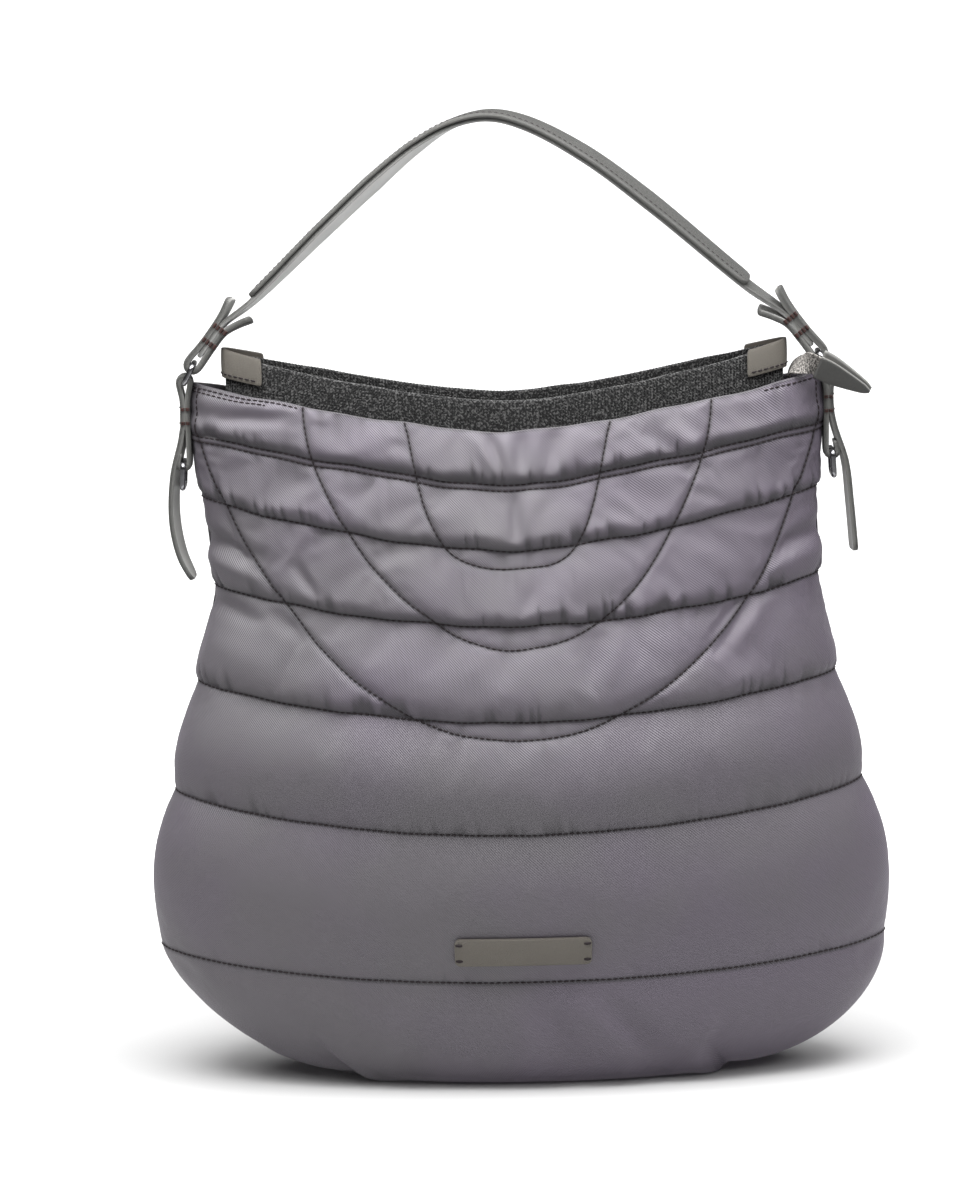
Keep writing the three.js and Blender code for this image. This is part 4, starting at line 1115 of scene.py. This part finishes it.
def front_place(x, z):
    """Side and row of the place on the front at a given x and height, near the last seam: the row is moved
    by the error in height until it fits."""
    row = np.full(np.shape(x), LAST_SEAM - 0.2)
    for _ in range(14):
        size = shell_sizes(row, x < 0)
        side = 2 / np.pi * np.arcsin((x - size["lean"]) / size["half_width"])
        row = row + (shell_point(side, row)[..., 2] - z) / HEIGHT_TO_A_ROW
    return side, row


label_x = LABEL["middle_x"] + np.linspace(-1, 1, 300) * LABEL["half_width"]
label_lines = [
    on_panel("front_panel", *front_place(label_x, np.full_like(label_x, z)))[0]
    for z in (LABEL["low_z"], label_middle, LABEL["high_z"])
]
label_path = (label_lines[0] + label_lines[2]) / 2
label_steps = end_steps(label_path, 1)
label_walked = walked_along(label_path)


def even_along_label(values):
    """Values along the label's path, smoothed by a polynomial of the fourth degree and read at even steps."""
    fit = np.polynomial.polynomial.polyfit(label_walked, values, 4)
    return np.polynomial.polynomial.polyval(label_steps, fit).T


low_edge, middle_line, high_edge = (even_along_label(line) for line in label_lines)
label_across = unit(high_edge - low_edge)
label_out = unit(np.cross(np.gradient(middle_line, axis=0), label_across))
label_path = (high_edge + low_edge) / 2 + label_out * (2 * SHELL_GAP + LABEL["wall"] / 2)
label_bend = np.einsum("ij,ij->i", middle_line - (high_edge + low_edge) / 2, label_out)
label_width = rounded_ends(label_path, label_height, LABEL["corner"])
label_frames = (label_path, label_across, label_out)
label_shape = {"crown": 0.15, "bend": label_bend, "edge": 0.7}
label = strap_piece("leather_label", taupe, *label_frames, label_width, LABEL["wall"], **label_shape)
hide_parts("label_patch")
for end in LABEL_STITCHES["steps"]:
    outward = unit(np.sign(end) * (label_path[0] - label_path[-1]))
    rise = label_out[end] * (LABEL["wall"] / 2 - LABEL_STITCHES["sunk"])
    for edge in (-LABEL_STITCHES["off_middle"], LABEL_STITCHES["off_middle"]):
        corner = label_path[end] + label_across[end] * edge + rise
        row = tack(corner, outward, LABEL_STITCHES["reach"], label_out[end], pitch=5.7, radius=0.95)
        dark_stitches.append(row)


# The straps at the sides: strips of grey grained leather. Each hangs over the lower bar of the upper ring,
# one leg sewn to the side of the body and holding the lower ring at its foot, the other a free tail.
OUTWARD = {"left": -1, "right": 1}
STRAP = {"width": 15, "thickness": 2.4, "tip_corner": 4}
BARS = {"upper": (-2.1, 389), "lower": (2.9, 379.5), "hanging": (4.5, 336)}
BODY_SIDE = {"left": -173.6, "right": 166.6}
WIRE = 1.5
LOOP_RADIUS = WIRE + SHELL_GAP + STRAP["thickness"] / 2
TAILS = {
    "left": [(4.6, 350), (9.3, 329), (10.4, 305), (7, 286), (1, 272.5)],
    "right": [(5.6, 350), (11.6, 330), (14, 308), (16.2, 281)],
}
TAIL_TWIST = {"left": np.radians(-17), "right": np.radians(6)}
TIP_UNTWIST = {"left": 0.8, "right": 0}
STRAP_PLUMPNESS = 0.3
TAIL_TACKS = {"beyond": (-2, 6), "reach": (-5.5, 5.5), "rise": 1.4}
LEG_TACKS = [365.9, 365, 358.4, 357.5]
CURVE_STEPS = 24
SIDE_STRAP = {"leg_top": 370, "outer_leg_foot": 360, "inner_leg_foot": 350, "end_rise": 5.5, "end_inset": 1}


def smooth_path(points, step):
    """A centripetal Catmull-Rom curve through points, at even steps and closer at its ends, and for each
    step the place between the points that it was drawn from."""
    points = np.asarray(points, float)
    padded = np.concatenate([[2 * points[0] - points[1]], points, [2 * points[-1] - points[-2]]])
    gaps = np.linalg.norm(np.diff(padded, axis=0), axis=1)[:, None] ** 0.5
    p0, p1, p2, p3 = padded[:-3], padded[1:-2], padded[2:-1], padded[3:]
    d0, d1, d2 = gaps[:-2], gaps[1:-1], gaps[2:]
    leave = ((p1 - p0) / d0 - (p2 - p0) / (d0 + d1) + (p2 - p1) / d1) * d1
    reach = ((p2 - p1) / d1 - (p3 - p1) / (d1 + d2) + (p3 - p2) / d2) * d1
    t = np.linspace(0, 1, CURVE_STEPS, endpoint=False)[:, None]
    p1, p2, leave, reach = (part[:, None] for part in (p1, p2, leave, reach))
    curve = p1 * (2 * t**3 - 3 * t**2 + 1) + p2 * (3 * t**2 - 2 * t**3)
    curve = curve + leave * (t**3 - 2 * t**2 + t) + reach * (t**3 - t**2)
    curve = np.concatenate([curve.reshape(-1, 3), points[-1:]])
    drawn_from = np.append((np.arange(len(points) - 1)[:, None] + t[:, 0]).ravel(), len(points) - 1)
    steps = end_steps(curve, step)
    walked = walked_along(curve)
    path = at_places(steps, walked, curve)
    return path, np.interp(steps, walked, drawn_from)


def flat_frames(path, roll=0, turned=1):
    """Directions across a strap in the plane of the handle and out of its face, turned by an angle about
    its path. turned is -1 where the strap's outer face is on the other side of the path."""
    along = unit(np.gradient(path, axis=0))
    out = np.stack([-along[:, 2], 0 * along[:, 0], along[:, 0]], axis=1)
    across = np.tile([0.0, 1, 0], (len(path), 1))
    cosine = np.reshape(np.cos(roll), (-1, 1))
    sine = np.reshape(np.sin(roll), (-1, 1))
    return across * cosine + out * sine, turned * (out * cosine - across * sine)


def bar_point(side, bar):
    """Middle of a bar, given by how far it stands out from that side of the body and by its height."""
    out, z = BARS[bar]
    return np.array([BODY_SIDE[side] + OUTWARD[side] * out, 0, z])


def half_turn(middle, first, second, start, end, radius=LOOP_RADIUS):
    """Points of a turn round a bar between two angles, in the plane of two directions."""
    angle = np.linspace(start, end, 7)[:, None]
    return middle + radius * (np.cos(angle) * first + np.sin(angle) * second)


def side_strap_line(side):
    """Points of a side strap: from the tip of its tail over the ring, down and round the lower ring."""
    outward = np.array([OUTWARD[side], 0, 0])
    up = np.array([0, 0, 1.0])
    inner_leg = SHELL_GAP + STRAP["thickness"] / 2
    outer_leg = inner_leg + STRAP["thickness"] + SHELL_GAP
    hanging_out, hanging_z = BARS["hanging"]
    end = (hanging_out + LOOP_RADIUS - SIDE_STRAP["end_inset"], hanging_z + SIDE_STRAP["end_rise"])

    def place(out, z):
        return np.array([BODY_SIDE[side], 0, z]) + out * outward

    return [
        *(place(*spot) for spot in TAILS[side][::-1]),
        place(outer_leg, SIDE_STRAP["outer_leg_foot"]),
        place(outer_leg, SIDE_STRAP["leg_top"]),
        *half_turn(bar_point(side, "lower"), outward, up, 0, np.pi),
        place(inner_leg, SIDE_STRAP["leg_top"]),
        place(inner_leg, SIDE_STRAP["inner_leg_foot"]),
        *half_turn(bar_point(side, "hanging"), outward, up, np.pi, 2 * np.pi),
        place(*end),
    ]


LEATHER_TONES = {
    "tone": (0.1, 0.1, 0.094, 1),
    "pore": (0.05, 0.05, 0.047, 1),
    "edge_tone": (0.075, 0.075, 0.07, 1),
    "grain": 1100,
}
leather_thread = thread_finish("leather_thread", (0.014, 0.007, 0.006, 1), (0.07, 0.03, 0.026, 1))
tack_stitches = []
leather = leather_finish("grained_leather", inner_tone=(0.42, 0.418, 0.405, 1), **LEATHER_TONES)
for side, outward in OUTWARD.items():
    path, place = smooth_path(side_strap_line(side), 1.2)
    to_tip = np.clip(1 - place / (len(TAILS[side]) - 0.5), 0, 1)
    twist = TAIL_TWIST[side] * to_tip**0.45 * (1 - TIP_UNTWIST[side] * to_tip**4)
    across, out = flat_frames(path, twist, turned=-outward)
    width = rounded_ends(path, STRAP["width"], STRAP["tip_corner"], both=False)
    thickness = STRAP["thickness"] + STRAP_PLUMPNESS
    piece = strap_piece(f"leather_side_strap_{side}", leather, path, across, out, width, thickness, crown=0.4)
    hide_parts(f"side_strap_{side}")
    walked = walked_along(path)
    tail_length = walked[np.argmax(path[:, 2] > SIDE_STRAP["outer_leg_foot"])]
    for beyond in TAIL_TACKS["beyond"]:
        nearest = np.argmin(np.abs(walked - (tail_length + beyond)))
        start = path[nearest] + out[nearest] * TAIL_TACKS["rise"]
        row = tack(start, across[nearest], TAIL_TACKS["reach"], out[nearest], pitch=1.5, radius=0.36)
        tack_stitches.append(row)
    over_legs = (0.2, 2 * STRAP["thickness"] + 3 * SHELL_GAP)
    for z in LEG_TACKS:
        for facing in (-1, 1):
            edge = np.array([BODY_SIDE[side], facing * (STRAP["width"] / 2 + 0.1), z])
            row = tack(edge, [outward, 0, 0], over_legs, [0.0, facing, 0], pitch=2.6, radius=0.45)
            tack_stitches.append(row)


# The rings: round-cornered wire loops with dark gunmetal plating. The upper one joins the handle's loop to
# the side strap, and the lower one hangs free in the foot of the strap.
RING = {"half_span": 10.3, "corner": 2.8}
HANGING_RING = {"drop": 13, "swing": 0.05}
WIRE_SIDES = 20
CORNER_STEPS = 12


def ring_surface(upper, lower):
    """A wire ring between two bars: a circle carried round a rectangle with round corners."""
    up = unit(upper - lower)
    across = np.array([0, 1.0, 0])
    half_height = np.linalg.norm(upper - lower) / 2
    angle = (np.arange(4)[:, None] + np.linspace(0, 1, CORNER_STEPS)).ravel()[:, None] * np.pi / 2
    quarter = np.repeat(np.arange(4), CORNER_STEPS)[:, None]
    side_sign = np.where((quarter == 0) | (quarter == 3), 1, -1)
    up_sign = np.where(quarter < 2, 1, -1)
    radial = np.cos(angle) * across + np.sin(angle) * up
    seat = (upper + lower) / 2 + side_sign * (RING["half_span"] - RING["corner"]) * across
    seat = seat + up_sign * (half_height - RING["corner"]) * up + RING["corner"] * radial
    turn = np.arange(WIRE_SIDES)[:, None] * 2 * np.pi / WIRE_SIDES
    return seat[:, None] + WIRE * (np.cos(turn) * radial[:, None] + np.sin(turn) * np.cross(across, up))


def gunmetal_finish():
    """Polished dark plating with faint rubbed clouds."""
    material, shade, shader = new_finish("gunmetal_plating", {"Metallic": 1})
    clouds = shade.noise(400, 3)
    clouds.mix((0.2, 0.2, 0.21, 1), (0.32, 0.32, 0.335, 1)).into(shader, "Base Color")
    (0.12 + clouds * 0.16).into(shader, "Roughness")
    return material


gunmetal = gunmetal_finish()
for side, outward in OUTWARD.items():
    hanging = bar_point(side, "hanging")
    swing = np.array([np.sin(HANGING_RING["swing"]) * outward, 0, -1])
    bars = {
        f"ring_{side}": (bar_point(side, "upper"), bar_point(side, "lower")),
        f"strap_ring_{side}": (hanging, hanging + HANGING_RING["drop"] * swing),
    }
    for name, (upper, lower) in bars.items():
        wire = ring_surface(upper, lower)
        ring = make_piece(f"wire_{name}", wire, grid_faces(*wire.shape[:2], True, True), gunmetal)
        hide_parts(name)


# The handle: a flat leather strap whose ends are held in leather loops, each a strip folded round the upper
# ring and sewn flat, and a wider crowned cover sewn on the strap's outer face along both edges.
HANDLE_RISE = 0.9
HANDLE_STRAIGHT = [5.5, 18, 27]
HANDLE_LINE = [
    (-138.8, 422, -8),
    (-100, 458, -15),
    (-72, 483.3, -17),
    (-50, 501.5, -12),
    (-30, 513.5, -4),
    (-11, 517.9, 2),
    (8, 513.8, 6),
    (39, 497.2, 10),
    (73.3, 471.4, 12),
    (126.5, 426, 9),
]
HANDLE = {"strap_width": 21, "strap_thickness": 1.8, "cover_width": 25, "cover_thickness": 2.4}
HANDLE_LOOP = {
    "inner": [(38.5, 7.6), (31, 3.2), (23, 0), (12, 0)],
    "outer": [(12, 0), (23, 0), (32, 0.6), (41, 2.4)],
}
LOOP_ROLL = np.radians(10)
LOOP_PLUMPNESS = 0.8
STRAP_END_ROLLS = {"left": [-2, -5, -7], "right": [2, 5, 7]}
EDGE_TACKS = [15, 24.5]
EDGE_TACK_ROWS = [-0.9, 0, 0.9]
COVER_CROWN = 0.7
COVER_STITCHES = [(-9.6, 0.42, 0.3), (9.6, 0.3, 0.45)]


def handle_direction(side):
    """The direction in which the handle leaves its ring, and its outer side."""
    inward = -OUTWARD[side]
    along = np.array([inward * np.cos(HANDLE_RISE), 0, np.sin(HANDLE_RISE)])
    return along, np.array([-inward * np.sin(HANDLE_RISE), 0, np.cos(HANDLE_RISE)])


def handle_end(side):
    """Points of the straight end of the handle, from its ring on."""
    return bar_point(side, "upper") + np.array(HANDLE_STRAIGHT)[:, None] * handle_direction(side)[0]


def handle_loop_line(side):
    """Points of a handle loop: from the end of its inner layer round the ring to that of its outer one."""
    bar = bar_point(side, "upper")
    along, outer = handle_direction(side)
    leg = (HANDLE["strap_thickness"] + STRAP["thickness"] + LOOP_PLUMPNESS) / 2 + SHELL_GAP
    radius = LOOP_RADIUS + LOOP_PLUMPNESS / 2
    inner_layer = [bar + along * place - outer * (leg + away) for place, away in HANDLE_LOOP["inner"]]
    outer_layer = [bar + along * place + outer * (leg + away) for place, away in HANDLE_LOOP["outer"]]
    return [*inner_layer, *half_turn(bar, along, outer, -np.pi / 2, -1.5 * np.pi, radius), *outer_layer]


line = np.array([(x, 0, z) for x, z, _ in HANDLE_LINE])
rolls = [*STRAP_END_ROLLS["left"], *(roll for _, _, roll in HANDLE_LINE), *STRAP_END_ROLLS["right"][::-1]]
path, place = smooth_path([*handle_end("left"), *line, *handle_end("right")[::-1]], 1.5)
across, out = flat_frames(path, np.interp(place, np.arange(len(rolls)), np.radians(rolls)))
cover_start = len(HANDLE_STRAIGHT)
cover_end = cover_start + len(HANDLE_LINE) - 1
to_cover = np.clip(1 - np.maximum(cover_start - place, place - cover_end), 0, 1)
width = STRAP["width"] + (HANDLE["strap_width"] - STRAP["width"]) * ease(to_cover)
thickness = HANDLE["strap_thickness"] + 2 * SHELL_GAP
PALE_EDGED = {**LEATHER_TONES, "edge_tone": (0.15, 0.15, 0.142, 1)}
COVER_TONES = {"tone": (0.066, 0.066, 0.061, 1), "pore": (0.026, 0.026, 0.024, 1), "grain": 850}
# The strap's near-white inner face is pale lining leather with painted reflection of the white floor on it.
lined_leather_and_painted_reflection = leather_finish("lined_leather_and_painted_reflection", inner_tone=(0.85, 0.85, 0.84, 1), **PALE_EDGED)
cover_look = {**PALE_EDGED, **COVER_TONES, "inner_tone": (0.1, 0.1, 0.095, 1)}
cover_leather = leather_finish("cover_leather", **cover_look)
piece = strap_piece("leather_handle_strap", lined_leather_and_painted_reflection, path, across, out, width, thickness)
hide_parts("handle_strap")

covered = (place >= cover_start) & (place <= cover_end)
cover_rise = (HANDLE["strap_thickness"] + HANDLE["cover_thickness"]) / 2 + SHELL_GAP
cover_path = path[covered] + out[covered] * cover_rise
cover_steps = end_steps(cover_path, 1.5)
cover_walked = walked_along(cover_path)
cover_path, cover_across, cover_out = (
    at_places(cover_steps, cover_walked, part) for part in (cover_path, across[covered], out[covered])
)
width = rounded_ends(cover_path, HANDLE["cover_width"], 5)
cover_frames = (cover_path, cover_across, cover_out)
cover_shape = {"thickness": HANDLE["cover_thickness"], "crown": COVER_CROWN, "edge": 1}
piece = strap_piece("leather_handle_cover", cover_leather, *cover_frames, width, **cover_shape)
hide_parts("handle_cover")
for edge, radius, sunk in COVER_STITCHES:
    crown = COVER_CROWN * (1 - (2 * edge / HANDLE["cover_width"]) ** 2)
    stitch_rise = HANDLE["cover_thickness"] / 2 + crown - sunk
    sewn_line = cover_path + cover_across * edge + cover_out * stitch_rise
    dark_stitches.append(stitches(sewn_line[8:-8], cover_out[8:-8], radius=radius))

for side, outward in OUTWARD.items():
    path, _ = smooth_path(handle_loop_line(side), 1.2)
    share = walked_along(path) / walked_along(path)[-1]
    frames = (path, *flat_frames(path, LOOP_ROLL * (1 - 2 * share), turned=-outward))
    width = rounded_ends(path, STRAP["width"], 3)
    thickness = STRAP["thickness"] + LOOP_PLUMPNESS
    piece = strap_piece(f"leather_handle_loop_{side}", leather, *frames, width, thickness, crown=0.3)
    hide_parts(f"handle_loop_{side}")
    along, outer = handle_direction(side)
    stack = HANDLE["strap_thickness"] / 2 + SHELL_GAP + thickness
    for at in EDGE_TACKS:
        for row in EDGE_TACK_ROWS:
            for facing in (-1, 1):
                edge = np.array([0, facing * (STRAP["width"] / 2 + 0.1), 0])
                start = bar_point(side, "upper") + along * (at + row) + edge
                sewn = tack(start, outer, (-stack, stack), [0.0, facing, 0], pitch=2.3, radius=0.48)
                tack_stitches.append(sewn)


# The zip's end: the woven tape comes up out of the mouth at the right corner, turns over the rim, and is
# closed in a small wedge of leather folded round it along its lower edge.
ZIP_END = {"start": (163, -16.5, 383), "tip": (190.5, -20.5, 369.5), "across": (0.3, -0.45, 0.85)}
ZIP_LEATHER = {"half_width": 7.2, "tip_half_width": 2.2, "wall": 1.5, "widest": 0.2, "back_rise": 2.6}
ZIP_TIP = {"narrowing_power": 1.3, "round_from": 0.85, "rounding": 0.9}
ZIP_LINE = [(148.4, -0.3, 366), (148.8, -0.6, 377), (150.8, -5.5, 382.2), (155.5, -12.6, 384)]
ZIP_ACROSS = [(0, 1, 0), (0, 1, 0.05), (0.3, 0.85, 0.55), (0.35, 0.2, 0.9)]
ZIP_TAPE = {"width": 11.6, "thickness": 1.2, "straight": (-4, 0, 9)}
TAPE_RIB_PITCH = 0.0012


def squared_to(directions, along):
    """Directions made square to others and of length one."""
    along = unit(along)
    return unit(directions - np.sum(directions * along, axis=-1, keepdims=True) * along)


def tape_finish():
    """Woven zip tape: pale and dark yarn mixed, with fine ribs across it."""
    material, shade, shader = new_finish("zip_tape_weave", {"Specular IOR Level": 0.25})
    along, _, _ = surface_parts(shade)
    ribs = along.wave(TAPE_RIB_PITCH)
    fibres = shade.noise(1100).between(0.44, 0.58)
    weave = ribs * 0.3 + fibres * 0.7
    weave.mix((0.03, 0.028, 0.026, 1), (0.36, 0.34, 0.32, 1)).into(shader, "Base Color")
    (0.75 + weave * 0.2).into(shader, "Roughness")
    weave.bump(shader, 0.0003)
    return material


zip_start = np.array(ZIP_END["start"])
zip_along = np.array(ZIP_END["tip"]) - zip_start
zip_across = squared_to(np.array(ZIP_END["across"]), zip_along)
zip_straight = [zip_start + unit(zip_along) * place for place in ZIP_TAPE["straight"]]
path, place = smooth_path([*ZIP_LINE, *zip_straight], 0.9)
across_list = np.array([*ZIP_ACROSS, *[zip_across] * len(zip_straight)])
across = at_places(place, np.arange(len(across_list)), across_list)
along = np.gradient(path, axis=0)
across = squared_to(across, along)
tape_frames = (path, across, squared_to(np.cross(along, across), across))
tape_shape = {"width": ZIP_TAPE["width"], "thickness": ZIP_TAPE["thickness"], "edge": 0.3, "end": 0.4}
tape = strap_piece("woven_zip_tape", tape_finish(), *tape_frames, **tape_shape)
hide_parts("zip_tape")


def zip_end_surface():
    """The folded leather end: a U-shaped section with a round fold along its lower edge, carried from the
    mouth of the wedge to its tip, to which it narrows by a power from its widest place on. Its back layer
    stands higher than its front one at the mouth."""
    inside = ZIP_TAPE["thickness"] / 2 + SHELL_GAP
    outside = inside + ZIP_LEATHER["wall"]
    u = np.sin(np.linspace(0, np.pi / 2, 30))[:, None]
    from_widest = (u - ZIP_LEATHER["widest"]) / (1 - ZIP_LEATHER["widest"])
    narrowing = ZIP_LEATHER["half_width"] - ZIP_LEATHER["tip_half_width"]
    half = ZIP_LEATHER["half_width"] - narrowing * np.maximum(from_widest, 0) ** ZIP_TIP["narrowing_power"]
    in_tip = np.clip(u - ZIP_TIP["round_from"], 0, 1) / (1 - ZIP_TIP["round_from"])
    half = half * np.sqrt(1 - (in_tip * ZIP_TIP["rounding"]) ** 2)
    fold = outside - half
    share = np.linspace(0, 1, 12)
    bend = np.linspace(np.pi / 2, 1.5 * np.pi, 14)
    back = half + ZIP_LEATHER["back_rise"] * (1 - u)
    a = np.concatenate(
        [half + (fold - half) * share, fold + outside * np.cos(bend)[1:-1], fold + (back - fold) * share]
        + [back + (fold - back) * share, fold + inside * np.cos(bend)[-2:0:-1], fold + (half - fold) * share],
        axis=1,
    )
    level = np.ones((len(u), len(share)))
    lift = np.ones((len(u), 1))
    b = np.concatenate(
        [outside * level, lift * outside * np.sin(bend)[1:-1], -outside * level]
        + [-inside * level, lift * inside * np.sin(bend)[-2:0:-1], inside * level],
        axis=1,
    )
    face_direction = squared_to(np.cross(zip_along, zip_across), zip_across)
    spine = zip_start + u[:, :, None] * zip_along
    points = spine + a[..., None] * zip_across + b[..., None] * face_direction
    place = u * np.linalg.norm(zip_along) * MM
    face = np.where(np.arange(a.shape[1]) < a.shape[1] / 2, 1, -1)
    coordinates = np.stack([place + 0 * a, a / half * 0.95, face + 0 * a], axis=-1)
    return points, coordinates


ZIP_TONES = {"tone": (0.135, 0.135, 0.127, 1), "edge_tone": (0.2, 0.2, 0.19, 1)}
zip_look = {**LEATHER_TONES, **ZIP_TONES, "inner_tone": (0.25, 0.248, 0.238, 1)}
zip_leather = leather_finish("zip_leather", **zip_look)
points, coordinates = zip_end_surface()
faces = capped_faces(*points.shape[:2])
zip_end = make_piece("leather_zip_end", points, faces, zip_leather, coordinates)
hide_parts("zip_end_tab")

for name, rows_of_stitches, thread in (
    ("leather_seam_thread", dark_stitches, seam_thread),
    ("leather_tack_thread", tack_stitches, leather_thread),
):
    sewn = np.concatenate(rows_of_stitches)
    make_piece(name, sewn, stitch_faces(len(sewn)), thread)
